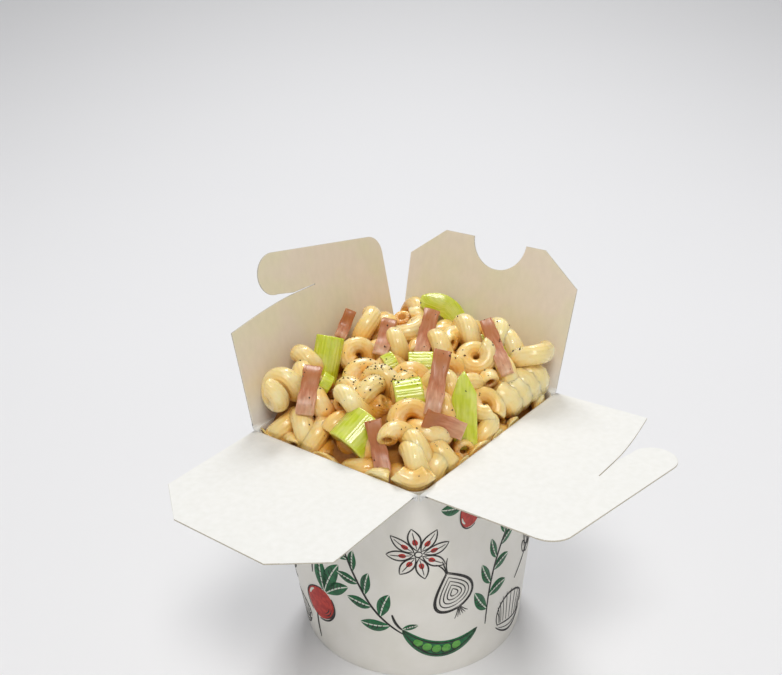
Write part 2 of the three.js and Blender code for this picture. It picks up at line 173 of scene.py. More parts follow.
def colour(text):
    """A linear colour with alpha from an sRGB hex value."""
    srgb = np.array([int(text[i:i + 2], 16) for i in (1, 3, 5)]) / 255
    linear = np.where(srgb <= 0.04045, srgb / 12.92, ((srgb + 0.055) / 1.055) ** 2.4)
    return (*linear, 1.0)


# Settings of a node that mixes two colours, and which of its outputs is the mix
MIX = {"out": 2, "data_type": "RGBA"}


def per_metre(size_mm):
    """The scale of a pattern whose lumps are about size_mm across, on coordinates in metres."""
    return 1 / (size_mm * MM)


def node(tree, kind, inputs=None, out=0, stops=(), **settings):
    """Adds a shader node and returns one of its outputs. Settings are its properties, each input is a
    value or a socket to link, and stops are the (place, hex colour) pairs of a ramp."""
    made = tree.nodes.new("ShaderNode" + kind)
    for name, value in settings.items():
        setattr(made, name, value)
    for name, value in (inputs or {}).items():
        if isinstance(value, bpy.types.NodeSocket):
            tree.links.new(value, made.inputs[name])
        else:
            made.inputs[name].default_value = value
    for number, (place, text) in enumerate(stops):
        if number >= len(made.color_ramp.elements):
            made.color_ramp.elements.new(place)
        made.color_ramp.elements[number].position = place
        made.color_ramp.elements[number].color = colour(text)
    return made.outputs[out]


def material(name, **constants):
    """A material with one Principled surface, its tree and the piece's own coordinates. The constants
    are values on the surface's own sockets."""
    made = bpy.data.materials.new(name)
    made.use_nodes = True
    tree = made.node_tree
    for socket, value in constants.items():
        tree.nodes["Principled BSDF"].inputs[socket.replace("_", " ")].default_value = value
    return made, tree, node(tree, "TexCoord", out="Object")


def finished(made, **patterns):
    """The material, with each pattern linked to its socket of the surface."""
    tree = made.node_tree
    for socket, pattern in patterns.items():
        tree.links.new(pattern, tree.nodes["Principled BSDF"].inputs[socket.replace("_", " ")])
    return made


def coated_board():
    # Solid bleached paperboard with a clay coat: a dead even white with a faint satin sheen
    made, tree, place = material("coated_paperboard", Roughness=0.42, IOR=1.5)
    cloud = node(tree, "TexNoise", {"Vector": place, "Scale": per_metre(14), "Detail": 3})
    white = node(tree, "ValToRGB", {0: cloud}, stops=[(0.35, "#EBE8DF"), (0.65, "#F1EEE7")])
    coat = node(tree, "TexNoise", {"Vector": place, "Scale": per_metre(1.1), "Detail": 4})
    relief = node(tree, "Bump", {"Height": coat, "Distance": 0.02 * MM, "Strength": 0.5})
    return finished(made, Base_Color=white, Normal=relief)


def bare_board():
    # The uncoated side: the same white, a little warmer and without sheen, with a soft fibre grain
    made, tree, place = material("uncoated_paperboard", Roughness=0.7, IOR=1.45)
    along = node(tree, "Mapping", {"Vector": place, "Scale": (1.0, 1.0, 0.5)})
    fibre = node(tree, "TexNoise", {"Vector": along, "Scale": per_metre(2.5), "Detail": 4})
    cloud = node(tree, "TexNoise", {"Vector": place, "Scale": per_metre(22), "Detail": 2})
    white = node(tree, "ValToRGB", {0: fibre}, stops=[(0.3, "#ECECE8"), (0.7, "#F1F1EE")])
    # Painted light: above the mouth the raised flaps are tinted creamier, in pale cloudy patches, for warm
    # light bounced off the food and the print showing through the lit board
    patch = node(tree, "ValToRGB", {0: cloud}, stops=[(0.4, "#FCF3D8"), (0.6, "#FFF1E0")])
    level = node(tree, "SeparateXYZ", {0: place}, out=2)
    low, high = (HEIGHT + 4.5) * MM, (HEIGHT + 16.5) * MM
    raised = node(tree, "MapRange", {0: level, 1: low, 2: high, 3: 0.0, 4: 1.0})
    shown = node(tree, "Mix", {0: raised, 6: white, 7: patch}, blend_type="MULTIPLY", **MIX)
    relief = node(tree, "Bump", {"Height": fibre, "Distance": 0.02 * MM, "Strength": 0.6})
    return finished(made, Base_Color=shown, Normal=relief)


def board_edge():
    # Cut edges of the board: rough fibre, coloured a little darker and greyer than the faces
    made, tree, place = material("cut_edge_of_paperboard", Roughness=0.85, IOR=1.4)
    fibre = node(tree, "TexNoise", {"Vector": place, "Scale": per_metre(0.5), "Detail": 3})
    shade = node(tree, "ValToRGB", {0: fibre}, stops=[(0.3, "#BDB6A6"), (0.7, "#D3CDBE")])
    return finished(made, Base_Color=shade)


def ink(name, dark, light):
    # Offset printing ink on the coated side: a little matter than the coat, with uneven coverage
    made, tree, place = material(name, Roughness=0.5, IOR=1.5)
    mottle = node(tree, "TexNoise", {"Vector": place, "Scale": per_metre(1.6), "Detail": 3})
    shade = node(tree, "ValToRGB", {0: mottle}, stops=[(0.4, dark), (0.6, light)])
    return finished(made, Base_Color=shade)


def boiled_macaroni():
    # Durum pasta boiled soft, under a thin film of cream sauce: pale, translucent and wet
    made, tree, place = material(
        "boiled_macaroni_in_cream", IOR=1.42, Coat_Weight=0.8, Coat_Roughness=0.1, Coat_IOR=1.42,
        Subsurface_Weight=0.5, Subsurface_Radius=(0.9, 0.75, 0.3), Subsurface_Scale=1.6 * MM
    )
    # Painted shade: the colour runs from pale cream on top to deep golden brown with depth under the heap's
    # skin and towards each coil's hollow, where shade falls between the pieces
    depth = node(tree, "Attribute", out="Fac", attribute_name="depth")
    tint = node(tree, "Attribute", out="Fac", attribute_name="tint")
    stops = [(0.0, "#FFEAB2"), (0.25, "#FAD688"), (0.55, "#E4A846"), (1.0, "#A8681C")]
    body = node(tree, "ValToRGB", {0: depth}, stops=stops)
    shade = node(tree, "ValToRGB", {0: tint}, stops=[(0.0, "#FFFDF2"), (1.0, "#FFEBC4")])
    body = node(tree, "Mix", {0: 0.8, 6: body, 7: shade}, blend_type="MULTIPLY", **MIX)
    film = node(tree, "TexNoise", {"Vector": place, "Scale": per_metre(6), "Detail": 3})
    creamy = node(tree, "MapRange", {0: film, 1: 0.5, 2: 0.66, 3: 0.0, 4: 0.4})
    body = node(tree, "Mix", {0: creamy, 6: body, 7: colour("#FFF3CC")}, **MIX)
    smear = node(tree, "TexNoise", {"Vector": place, "Scale": per_metre(3.2), "Detail": 2})
    wet = node(tree, "MapRange", {0: smear, 1: 0.3, 2: 0.7, 3: 0.22, 4: 0.42})
    # The die leaves fine ridges along the tube, about 2 mm apart, half filled by the sauce
    uv = node(tree, "UVMap")
    around = node(tree, "SeparateXYZ", {0: uv})
    turn = node(tree, "Math", {0: around, 1: RIDGES * 2 * np.pi}, operation="MULTIPLY")
    ridge = node(tree, "Math", {0: turn}, operation="COSINE")
    smoothed = node(tree, "Math", {0: 0.8, 1: creamy}, operation="SUBTRACT")
    ridge = node(tree, "Math", {0: ridge, 1: smoothed}, operation="MULTIPLY")
    lumps = node(tree, "Math", {0: smear, 1: 1.6}, operation="MULTIPLY")
    ridge = node(tree, "Math", {0: ridge, 1: 0.8}, operation="MULTIPLY")
    height = node(tree, "Math", {0: ridge, 1: lumps}, operation="ADD")
    relief = node(tree, "Bump", {"Height": height, "Distance": 0.1 * MM})
    return finished(made, Base_Color=body, Roughness=wet, Normal=relief)


def sauced_core():
    # What lies under the pieces that show: the same pasta drowned in sauce, coloured dark golden brown as
    # painted shade for the shadow between the pieces
    made, tree, place = material(
        "sauce_under_the_macaroni_in_painted_shade", Roughness=0.35, IOR=1.4, Coat_Weight=0.3, Coat_Roughness=0.2
    )
    lumps = node(tree, "TexNoise", {"Vector": place, "Scale": per_metre(4), "Detail": 3})
    sauce = node(tree, "ValToRGB", {0: lumps}, stops=[(0.3, "#8A5216"), (0.7, "#BC8136")])
    relief = node(tree, "Bump", {"Height": lumps, "Distance": 0.8 * MM})
    return finished(made, Base_Color=sauce, Normal=relief)


def cooked_ham():
    # Cured ham sliced thin and cooked: brownish pink, fibrous along the strip, moist
    made, tree, place = material(
        "cooked_ham", IOR=1.42, Coat_Weight=0.3, Coat_Roughness=0.22,
        Subsurface_Weight=0.3, Subsurface_Radius=(1.0, 0.4, 0.25), Subsurface_Scale=1.2 * MM
    )
    uv = node(tree, "UVMap")
    long = node(tree, "Mapping", {"Vector": uv, "Scale": (0.22, 1.0, 1.0)})
    fibre = node(tree, "TexNoise", {"Vector": long, "Scale": per_metre(1.2), "Detail": 4})
    lean = [(0.3, "#A65C40"), (0.5, "#C07A58"), (0.72, "#DAA284")]
    meat = node(tree, "ValToRGB", {0: fibre}, stops=lean)
    patch = node(tree, "TexNoise", {"Vector": place, "Scale": per_metre(6), "Detail": 2})
    roast = node(tree, "Attribute", out="Fac", attribute_name="roast")
    roast = node(tree, "Math", {0: roast, 1: patch}, operation="ADD")
    brown = node(tree, "MapRange", {0: roast, 1: 0.4, 2: 1.5, 3: 0.0, 4: 0.9})
    meat = node(tree, "Mix", {0: brown, 6: meat, 7: colour("#B4703C")}, **MIX)
    cream = node(tree, "Attribute", out="Fac", attribute_name="cream")
    blot = node(tree, "TexNoise", {"Vector": place, "Scale": per_metre(2.5), "Detail": 3})
    smear = node(tree, "Math", {0: cream, 1: blot}, operation="MULTIPLY")
    meat = node(tree, "Mix", {0: smear, 6: meat, 7: colour("#E9C9A2")}, **MIX)
    wet = node(tree, "MapRange", {0: fibre, 1: 0.3, 2: 0.7, 3: 0.3, 4: 0.5})
    relief = node(tree, "Bump", {"Height": fibre, "Distance": 0.12 * MM})
    return finished(made, Base_Color=meat, Roughness=wet, Normal=relief)


def blanched_celery():
    # Blanched stalk: yellow-green, watery and translucent, with strings along the back
    made, tree, place = material(
        "blanched_celery", Roughness=0.22, IOR=1.37, Coat_Weight=0.9, Coat_Roughness=0.06, Coat_IOR=1.45,
        Subsurface_Weight=0.6, Subsurface_Radius=(0.8, 1.0, 0.2), Subsurface_Scale=1.6 * MM
    )
    uv = node(tree, "UVMap")
    long = node(tree, "Mapping", {"Vector": uv, "Scale": (1.0, 0.12, 1.0)})
    strings = node(tree, "TexNoise", {"Vector": long, "Scale": per_metre(1.2), "Detail": 3})
    green = [(0.3, "#BECB22"), (0.55, "#D2DC38"), (0.75, "#E6EA70")]
    flesh = node(tree, "ValToRGB", {0: strings}, stops=green)
    patch = node(tree, "TexNoise", {"Vector": place, "Scale": per_metre(6), "Detail": 2})
    pale = node(tree, "MapRange", {0: patch, 1: 0.42, 2: 0.7, 3: 0.0, 4: 0.5})
    shown = node(tree, "Mix", {0: pale, 6: flesh, 7: colour("#EEEFA0")}, **MIX)
    relief = node(tree, "Bump", {"Height": strings, "Distance": 0.12 * MM})
    return finished(made, Base_Color=shown, Normal=relief)


def ground_pepper():
    # Coarsely ground black pepper: dull, nearly black shards with some paler hearts
    made, tree, place = material("ground_black_pepper", Roughness=0.75, IOR=1.45)
    grit = node(tree, "TexNoise", {"Vector": place, "Scale": per_metre(0.9), "Detail": 2})
    shade = node(tree, "ValToRGB", {0: grit}, stops=[(0.35, "#1F1611"), (0.7, "#5E402B")])
    return finished(made, Base_Color=shade)


# Meshes from arrays

def grid_faces(rows, columns, closed=True):
    """Quads of a grid of rows by columns of points; closed joins the last column to the first."""
    across = columns if closed else columns - 1
    row, column = np.meshgrid(np.arange(rows - 1), np.arange(across), indexing="ij")
    here, right = row * columns + column, row * columns + (column + 1) % columns
    return np.stack([here, right, right + columns, here + columns], -1).reshape(-1, 4)


def capped_faces(rows, width):
    """Quads between closed rings, and one face over each end."""
    ring = np.arange(width)
    return grid_faces(rows, width).tolist() + [ring[::-1].tolist(), (ring + (rows - 1) * width).tolist()]


def face_outwards(piece):
    """Turns every face of a closed piece to the outside."""
    shape = bmesh.new()
    shape.from_mesh(piece.data)
    bmesh.ops.recalc_face_normals(shape, faces=shape.faces)
    shape.to_mesh(piece.data)
    shape.free()


def in_scene(name, data):
    """A new object for a mesh, a lamp or a camera, linked to the scene."""
    made = bpy.data.objects.new(name, data)
    bpy.context.scene.collection.objects.link(made)
    return made


def new_piece(name, points, faces, surfaces, body=BODY, smooth=True, slots=None):
    """A mesh object from points in millimetres; slots gives each face's material number."""
    mesh = bpy.data.meshes.new(name)
    mesh.from_pydata((np.asarray(points, float) * MM).tolist(), [], [list(map(int, f)) for f in faces])
    piece = in_scene(name, mesh)
    for surface in surfaces:
        mesh.materials.append(surface)
    if slots is not None:
        mesh.polygons.foreach_set("material_index", np.asarray(slots, np.int32))
    mesh.polygons.foreach_set("use_smooth", np.full(len(mesh.polygons), smooth))
    mesh.update()
    if body:
        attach(piece, body)
    return piece


def point_values(piece, name, values):
    """A named number for each point, which a material can read."""
    attribute = piece.data.attributes.new(name, "FLOAT", "POINT")
    attribute.data.foreach_set("value", np.asarray(values, np.float32))


def corner_uv(piece, uv):
    """A UV map from one (u, v) for each corner of each face, or for each point."""
    layer = piece.data.uv_layers.new(name="UVMap")
    if len(uv) != len(piece.data.loops):
        corners = np.empty(len(piece.data.loops), np.int32)
        piece.data.loops.foreach_get("vertex_index", corners)
        uv = np.asarray(uv)[corners]
    layer.data.foreach_set("uv", np.asarray(uv, np.float32).ravel())


def turned(heading, tilt, roll):
    """Rotation matrices whose columns are a piece's own axes: X along heading and tilt, Y level
    before the roll about X."""
    h, t, r = (np.radians(np.asarray(v, float)) for v in (heading, tilt, roll))
    zero, one = np.zeros_like(h), np.ones_like(h)
    yaw = np.array([[np.cos(h), -np.sin(h), zero], [np.sin(h), np.cos(h), zero], [zero, zero, one]])
    pitch = np.array([[np.cos(t), zero, -np.sin(t)], [zero, one, zero], [np.sin(t), zero, np.cos(t)]])
    twist = np.array([[one, zero, zero], [zero, np.cos(r), -np.sin(r)], [zero, np.sin(r), np.cos(r)]])
    return np.einsum("ij...,jk...,kl...->...il", yaw, pitch, twist)


# The box

def wall_columns(steps):
    """Outward directions round the wall: corner arcs in steps, one flat facet across each side."""
    turn = np.linspace(1, 89, steps + 1)
    angle = np.radians(np.concatenate([quarter * 90 + turn for quarter in range(4)]))
    return np.stack([np.cos(angle), np.sin(angle)], -1)


def wall_ring(columns, height, inset):
    """The wall's outline at a height: a straight loft from the base circle to the mouth's rounded
    rectangle, which joins points that share an outward direction, moved in by inset."""
    share = height / HEIGHT
    radius = BASE_RADIUS * (1 - share) + MOUTH_CORNER * share - inset
    reach = np.array([MOUTH_X / 2 - MOUTH_CORNER, MOUTH_Y / 2 - MOUTH_CORNER]) * share
    flat = np.sign(columns) * reach + radius * columns
    return np.concatenate([flat, np.full((len(columns), 1), height)], 1)


def spread(rings, parts):
    """Splits the long flat facet between the corners into parts, on every ring."""
    rings = np.array(rings)
    share = np.arange(1, parts)[:, None] / parts
    corners = np.split(rings, 4, axis=1)
    made = []
    for quarter, here in enumerate(corners):
        last, after = here[:, -1:], corners[(quarter + 1) % 4][:, :1]
        made += [here, last + (after - last) * share]
    return np.concatenate(made, 1)


def make_box(outside, inside, edge):
    """One board shell: rings from the middle of the underside, round the turned-in hem, up the
    outside, over the cut edge and down the inside to the middle of the floor."""
    middle, hem_in, hem_fold, hem_top = 40.0, 2.6, 1.8, 1.0
    rim = HEIGHT - 0.1
    # Height, inset from the outer face, and the face's material
    levels = [(0.0, middle, 0), (0.0, hem_in, 2), (hem_top, hem_in, 2), (hem_top, hem_fold, 2)]
    levels += [(0.0, 1.75, 2), (0.0, 0.5, 0), (0.15, 0.15, 0), (0.5, 0.0, 0)]
    levels += [(z, 0.0, 0) for z in np.linspace(6, HEIGHT - 1.2, 16)]
    levels += [(rim, 0.04, 2), (HEIGHT, 0.12, 2), (HEIGHT, BOARD - 0.1, 2), (rim, BOARD - 0.02, 1)]
    levels += [(z, BOARD, 1) for z in np.linspace(HEIGHT - 2, 3, 8)]
    levels += [(FLOOR + 0.2, 0.75, 1), (FLOOR, 1.1, 1), (FLOOR, middle, 1)]
    columns = wall_columns(CORNER_STEPS)
    rings = spread([wall_ring(columns, z, inset) for z, inset, _ in levels], SIDE_PARTS)
    rows, width = rings.shape[:2]
    around = np.arange(width)
    after = (around + 1) % width
    hubs = rows * width, rows * width + 1
    last = (rows - 1) * width
    under = np.stack([np.full(width, hubs[0]), after, around], -1)
    floor = np.stack([np.full(width, hubs[1]), last + around, last + after], -1)
    points = np.concatenate([rings.reshape(-1, 3), [[0, 0, 0], [0, 0, FLOOR]]])
    faces = [*grid_faces(rows, width).tolist(), *under.tolist(), *floor.tolist()]
    slots = np.repeat([slot for _, _, slot in levels[1:]] + [0, 1], width)
    piece = new_piece("box_board", points, faces, [outside, inside, edge], slots=slots)
    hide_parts("box")


def unit(degrees):
    """The direction in a plane at an angle in degrees."""
    return np.array([np.cos(np.radians(degrees)), np.sin(np.radians(degrees))])


def bend(start, middle, end, steps=30):
    """A quadratic curve from start to end, drawn towards middle."""
    q = np.linspace(0, 1, steps)[:, None]
    return (1 - q) ** 2 * np.array(start) + 2 * q * (1 - q) * np.array(middle) + q * q * np.array(end)


def arc(cu, cv, radius, start, end, steps):
    """Points on a circle about (cu, cv), from start to end in degrees."""
    angle = np.radians(np.linspace(start, end, steps))
    return np.stack([cu + radius * np.cos(angle), cv + radius * np.sin(angle)], -1)


def hooked_outline():
    """Body, rounded shoulder, and a hook with a round end over a slot that closes to a fine cut."""
    half = MOUTH_Y / 2 - SIDE_TRIM
    shoulder, tab_u, tab_v, tab_r, top_v = 9, -19.5, 55.4, 8.5, 54.5
    slope = np.degrees(np.arctan2(tab_v + tab_r - top_v, half - tab_u))
    slot_u, slot_v, slit, slot_edge = -11, 44.4, 0.5, 40
    cut_end, cut = 2, 0.25
    return np.concatenate([
        arc(half - shoulder, top_v - shoulder, shoulder, 0, 90 - slope, 14),
        arc(tab_u, tab_v, tab_r, 90 - slope, 270, 30),
        [[slot_u, slot_v + slit], [cut_end, slot_v + cut], [cut_end, slot_v]],
        bend((slot_u, slot_v), (-half / 2, slot_v), (-half, slot_edge), 14),
    ]), (-half, half)


def faceted_outline(centre, side, flare, chamfer_v, top_u, top_v, notch=None):
    """Slightly flared sides, cut corners and a straight top edge, which may hold a round notch."""
    points = [[side + flare, chamfer_v], [top_u, top_v]]
    if notch:
        u, v, radius = notch
        dip = np.degrees(np.arcsin((v - top_v) / radius))
        points += arc(u - centre, v, radius, -dip, dip - 180, 36).tolist()
    points += [[-top_u, top_v], [-side - flare, chamfer_v]]
    return np.array(points) + [centre, 0], (centre - side, centre + side)


def outline_of(kind):
    """Outline in (u, v) past the flap's foot, and the two ends of its fold."""
    if kind == "hooked":
        return hooked_outline()
    if kind == "notched":
        return faceted_outline(
            centre=-1, side=41, flare=1.2, chamfer_v=43.6, top_u=25, top_v=56.7, notch=(1.8, 57.3, 13)
        )
    return faceted_outline(centre=0, side=39.5, flare=0, chamfer_v=43.9, top_u=21.4, top_v=57.1)


def fold_line(flap):
    """The direction a flap faces in plan, the one along its fold, to the right seen from inside, and the
    fold's middle on the wall's outer face."""
    out = np.array([*unit(flap["facing"]), 0])
    half = MOUTH_X / 2 if abs(out[0]) > 0.5 else MOUTH_Y / 2
    return out, np.cross(out, UP), out * half + UP * HEIGHT


def on_flap(flap, u, v, w):
    """Points by their place along the fold (u), out along the flap (v) and off its plane towards the
    inner face (w). The board springs back by the square of v, under a millimetre at the flap's end."""
    out, along, fold = fold_line(flap)
    level, rise = unit(flap["angle"])
    ahead = level * out + rise * UP
    u, v, w = (np.asarray(x, float)[..., None] for x in (u, v, w))
    off = w - SPRING * (v / FLAP_LENGTH) ** 2
    return fold + out * FOLD_OUT + u * along + v * ahead + off * np.cross(along, ahead)


def make_flap(name, flap, outside, inside, edge):
    """A plate from its outline, cut in strips across so that it can curl, with cut edges."""
    strip, softened = 6.0, 0.08
    outline, (low, high) = outline_of(flap["outline"])
    outline = np.concatenate([outline, [[low, START_V], [high, START_V]]])
    shape = bmesh.new()
    corners = [shape.verts.new((u, v, 0)) for u, v in outline]
    shape.faces.new(corners)
    for v in np.arange(1, 10) * strip:
        everything = shape.verts[:] + shape.edges[:] + shape.faces[:]
        bmesh.ops.bisect_plane(shape, geom=everything, plane_co=(0, v, 0), plane_no=(0, 1, 0))
    flat = bpy.data.meshes.new(name)
    shape.to_mesh(flat)
    shape.free()
    uv = np.array([v.co[:2] for v in flat.vertices])
    faces = [list(p.vertices) for p in flat.polygons]
    bpy.data.meshes.remove(flat)
    points = on_flap(flap, uv[:, 0], uv[:, 1], np.full(len(uv), BOARD / 2))
    piece = new_piece(name + "_board", points, faces, [inside, outside, edge], body=name, smooth=False)
    wall = piece.modifiers.new("board", "SOLIDIFY")
    wall.thickness = BOARD * MM
    wall.offset = -1
    wall.material_offset = 1
    wall.material_offset_rim = 2
    soften = piece.modifiers.new("edge", "BEVEL")
    soften.width = softened * MM
    soften.segments = 1
    soften.limit_method = "ANGLE"
    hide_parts(name)
    return low, high


def make_fold(name, flap, low, high, surface):
    """The crease: a strip of board that runs up the wall, bends over a small curve and goes on into
    the flap. It is a hair thicker than the board, so it covers both ends, and follows the fold."""
    below, hidden, above, reach, proud = 1.5, 1.2, 0.9, 2.4, 0.02
    tip = unit(flap["angle"])
    start = np.array([-BOARD / 2, -below])
    end = np.array([FOLD_OUT, 0]) + above * tip
    q = np.linspace(0, 1, 14)[:, None]
    over = (1 - q) ** 3 * start + 3 * q * (1 - q) ** 2 * (start + [0, below])
    over = over + 3 * q * q * (1 - q) * (end - 1.6 * tip) + q ** 3 * end
    foot = [start - [0, hidden], start - [0, hidden / 2]]
    middle = np.concatenate([foot, over, [end + (reach - above) * tip]])
    step = np.gradient(middle, axis=0)
    step /= np.linalg.norm(step, axis=1, keepdims=True)
    side = np.stack([-step[:, 1], step[:, 0]], -1)
    thick = np.full((len(middle), 1), BOARD / 2 + proud)
    thick[[0, -1]] = BOARD / 2 - 3 * proud
    section = np.concatenate([middle + side * thick, (middle - side * thick)[::-1]])
    out, along, fold = fold_line(flap)
    ring = fold + section[:, :1] * out + section[:, 1:] * UP
    places = np.linspace(low, high, 25)
    points = (ring + places[:, None, None] * along).reshape(-1, 3)
    piece = new_piece(name + "_fold", points, capped_faces(len(places), len(ring)), [surface], body=None)
    face_outwards(piece)
    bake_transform(piece)


# The print: loose drawings of garden food and shell pasta, as ribbons of ink

def oval(x, y, rx, ry, turn=0, sweep=(0, 360), steps=30):
    """An arc of an ellipse about (x, y), turned in degrees."""
    angle, turn = np.radians(np.linspace(*sweep, steps)), np.radians(turn)
    across, up = rx * np.cos(angle), ry * np.sin(angle)
    return np.stack([
        x + across * np.cos(turn) - up * np.sin(turn), y + across * np.sin(turn) + up * np.cos(turn)
    ], -1)


def line(path, width=0.6, colour_name="black"):
    """A pen line, with half its width at each place: it starts and ends a little thinner."""
    q = np.linspace(0, 1, len(path))
    return colour_name, path, width * 0.62 * (0.4 + 0.6 * np.sin(np.pi * q) ** 0.5)


def blade(colour_name, path, width, fullness=0.8):
    """A filled lens about a path: a leaf, a pod or a round, by its fullness."""
    q = np.linspace(0, 1, len(path))
    return colour_name, path, width / 2 * np.sin(np.pi * q) ** fullness + 0.05


def leaf(x, y, heading, length, width):
    """A leaf with a pale midrib and short dark veins on one half."""
    ahead, side = unit(heading), unit(heading + 90)
    foot = np.array([x, y])
    tip = foot + ahead * length
    middle = foot + ahead * length / 2 + side * length * 0.08
    parts = [blade("green", bend(foot, middle, tip), width), line(bend(foot, middle, tip), 0.5, "pale")]
    for share in (0.25, 0.4, 0.55, 0.7):
        at = foot + ahead * length * share
        reach = width * 0.42 * np.sin(np.pi * share)
        parts.append(line(bend(at, at + side * reach * 0.7, at + side * reach + ahead * 1.6, 6), 0.35))
    return parts


def pea_pod():
    """A curved pod cut open, with five peas along its middle line, and a stalk."""
    parts = [blade("green", bend((-19, 5), (0, -13), (19, 6)), 9.5, 0.6)]
    spine = bend((-19, 5), (0, -13), (19, 6), 41)
    for place in (9, 14, 19, 24, 29):
        x, y = spine[place]
        parts += [blade("lime", bend((x - 2.4, y), (x, y), (x + 2.4, y), 12), 4.8, 0.5)]
        parts += [line(oval(x, y, 2.4, 2.4, 0, (150, 330), 14), 0.4)]
    parts += [line(bend((-19, 5), (0, -20), (19, 6)), 0.6), line(bend((-19, 5), (0, -6), (19, 6)), 0.6)]
    return parts + [line(bend((-19, 5), (-23, 7), (-25, 12)), 1.1), *leaf(-19, 5, 35, 8, 3)]


def bay_sprig():
    """A bent stem with leaves on alternate sides that get shorter towards its tip."""
    stem = bend((2, -22), (-5, 0), (2, 20), 41)
    parts = [line(stem, 0.9)]
    for k, place in enumerate((6, 11, 16, 21, 26, 31, 36)):
        parts += leaf(*stem[place], 90 + (-1) ** k * (62 - 4 * k), 14 - 0.8 * k, 5.6 - 0.3 * k)
    return parts + leaf(*stem[-1], 88, 10, 4)


def radish():
    """A round root with a tail, a highlight and three leaves."""
    parts = [blade("red", bend((0, -9), (0, 0), (0, 7)), 16, 0.55)]
    parts += [line(bend((0, -8), (1, -13), (5, -20)), 0.8)]
    for side, pen in (((-75, 60), 0.7), ((100, 250), 0.5)):
        parts.append(line(oval(0, -1, 8.2, 8.2, 0, side), pen))
    parts += [line(oval(1.5, -1, r, r, 0, (-50, 20), 10), 0.4) for r in (3.6, 4.8, 6.0)]
    parts += [line(oval(-1, 0, 5.4, 5.4, 0, (140, 190), 9), 0.9, "pale")]
    return parts + leaf(0, 7, 118, 17, 6) + leaf(0, 7, 86, 19, 6.5) + leaf(1, 7, 58, 15, 5.5)


def onion_half():
    """An onion cut in half: nested skins, drawn as two mirrored curves each, roots and tips."""
    parts = []
    for size in (1.0, 0.93, 0.74, 0.55, 0.36, 0.18):
        for side in (-1, 1):
            path = bend((0, -10 * size), (side * 21 * size, -9 * size), (0, 13 * size))
            parts.append(line(path, 0.75 if size == 1 else 0.45))
    for x in (-4, -2.4, -1, 0.6, 2, 3.6):
        parts.append(line(bend((x / 4, -10), (x / 3, -12), (x, -15), 7), 0.35))
    return parts + [line(bend((x / 5, 12), (0, 16), (x, 20), 9), 0.5) for x in (-3, 0, 2.6)]


def wheat_ear():
    """Pairs of grains up a stem, each with a crease and a long awn."""
    stem = bend((-6, -24), (3, -6), (4, 14), 41)
    parts = [line(stem, 0.7)]
    for place in range(14, 41, 4):
        x, y = stem[place]
        for side in (-1, 1):
            at = np.array([x + side * 2.4, y + 2])
            parts.append(line(oval(*at, 3.0, 1.35, 90 - side * 28, steps=18), 0.5))
            parts.append(line(bend(at, at + [side, 2], at + [side * 1.4, 3], 5), 0.35))
            parts.append(line(bend(at + [side, 3], at + [side * 4, 10], at + [side * 6, 15], 12), 0.3))
    return parts


def shell_pasta():
    """A ridged shell: an oval back, a double lip and ribs that fan out over the back."""
    parts = [line(oval(0, 0, 13, 9, 12, (-20, 200)), 0.8), line(bend((12, -2), (2, -17), (-13, -6)), 0.8)]
    parts += [line(bend((11, -3), (1, -7), (-12, -5)), 0.6), line(bend((10, -4), (2, -11), (-10, -7)), 0.4)]
    for share in np.linspace(0.08, 0.92, 11):
        x, y = unit(-20 + 220 * share) * [12.6, 8.6] + [0, 2]
        parts.append(line(bend((x, y), (x * 0.8, y * 0.35), (x * 0.75 - 0.6, -4.6), 12), 0.4))
    return parts


def star_anise():
    """Eight pointed arms round a hub, each with a seed."""
    parts = [line(oval(0, 0, 1.5, 1.5), 0.5)]
    for angle in range(10, 370, 45):
        ahead, left = unit(angle), unit(angle + 90)
        for side in (-1, 1):
            parts.append(line(bend(2 * ahead, 8 * ahead + side * 5 * left, 14 * ahead, 14), 0.55))
        parts.append(blade("red", bend(5 * ahead, 6 * ahead, 8.5 * ahead, 9), 2.2, 0.6))
        parts.append(line(bend(3 * ahead, 8 * ahead, 12 * ahead, 9), 0.35))
    return parts


def olives():
    """Two stuffed olives under two leaves."""
    parts = leaf(2, 4, 60, 15, 4) + leaf(0, 4, 118, 13, 4)
    for x, y in ((-6, -3), (6, -2)):
        parts += [blade("green", bend((x - 5, y), (x, y), (x + 5, y), 18), 8.4, 0.5)]
        parts += [line(oval(x, y, 5, 4.2), 0.6)]
        parts += [blade("red", bend((x + 1, y), (x + 2, y), (x + 4, y), 9), 2.8, 0.5)]
        parts += [line(oval(x, y, r, r * 0.8, 0, (190, 280), 9), 0.35) for r in (2.6, 3.5)]
    return parts


DRAWINGS = {
    "pea_pod": pea_pod, "bay_sprig": bay_sprig, "radish": radish, "onion_half": onion_half,
    "wheat_ear": wheat_ear, "shell_pasta": shell_pasta, "star_anise": star_anise, "olives": olives,
}
# Inks in the order they are printed, each with its two shades and the lift of its layer
INKS = {
    "green": ("#0B5A34", "#14703F", 0.06),
    "red": ("#B0251E", "#C8382A", 0.06),
    "lime": ("#4E9A3C", "#67AE4C", 0.08),
    "pale": ("#DFE6D6", "#ECEFE4", 0.1),
    "black": ("#171614", "#2B2926", 0.12),
}
# The half width of one step across a ribbon, so that it follows the wall, and the ink's thickness
INK_STEP, INK_FILM = 0.9, 0.05
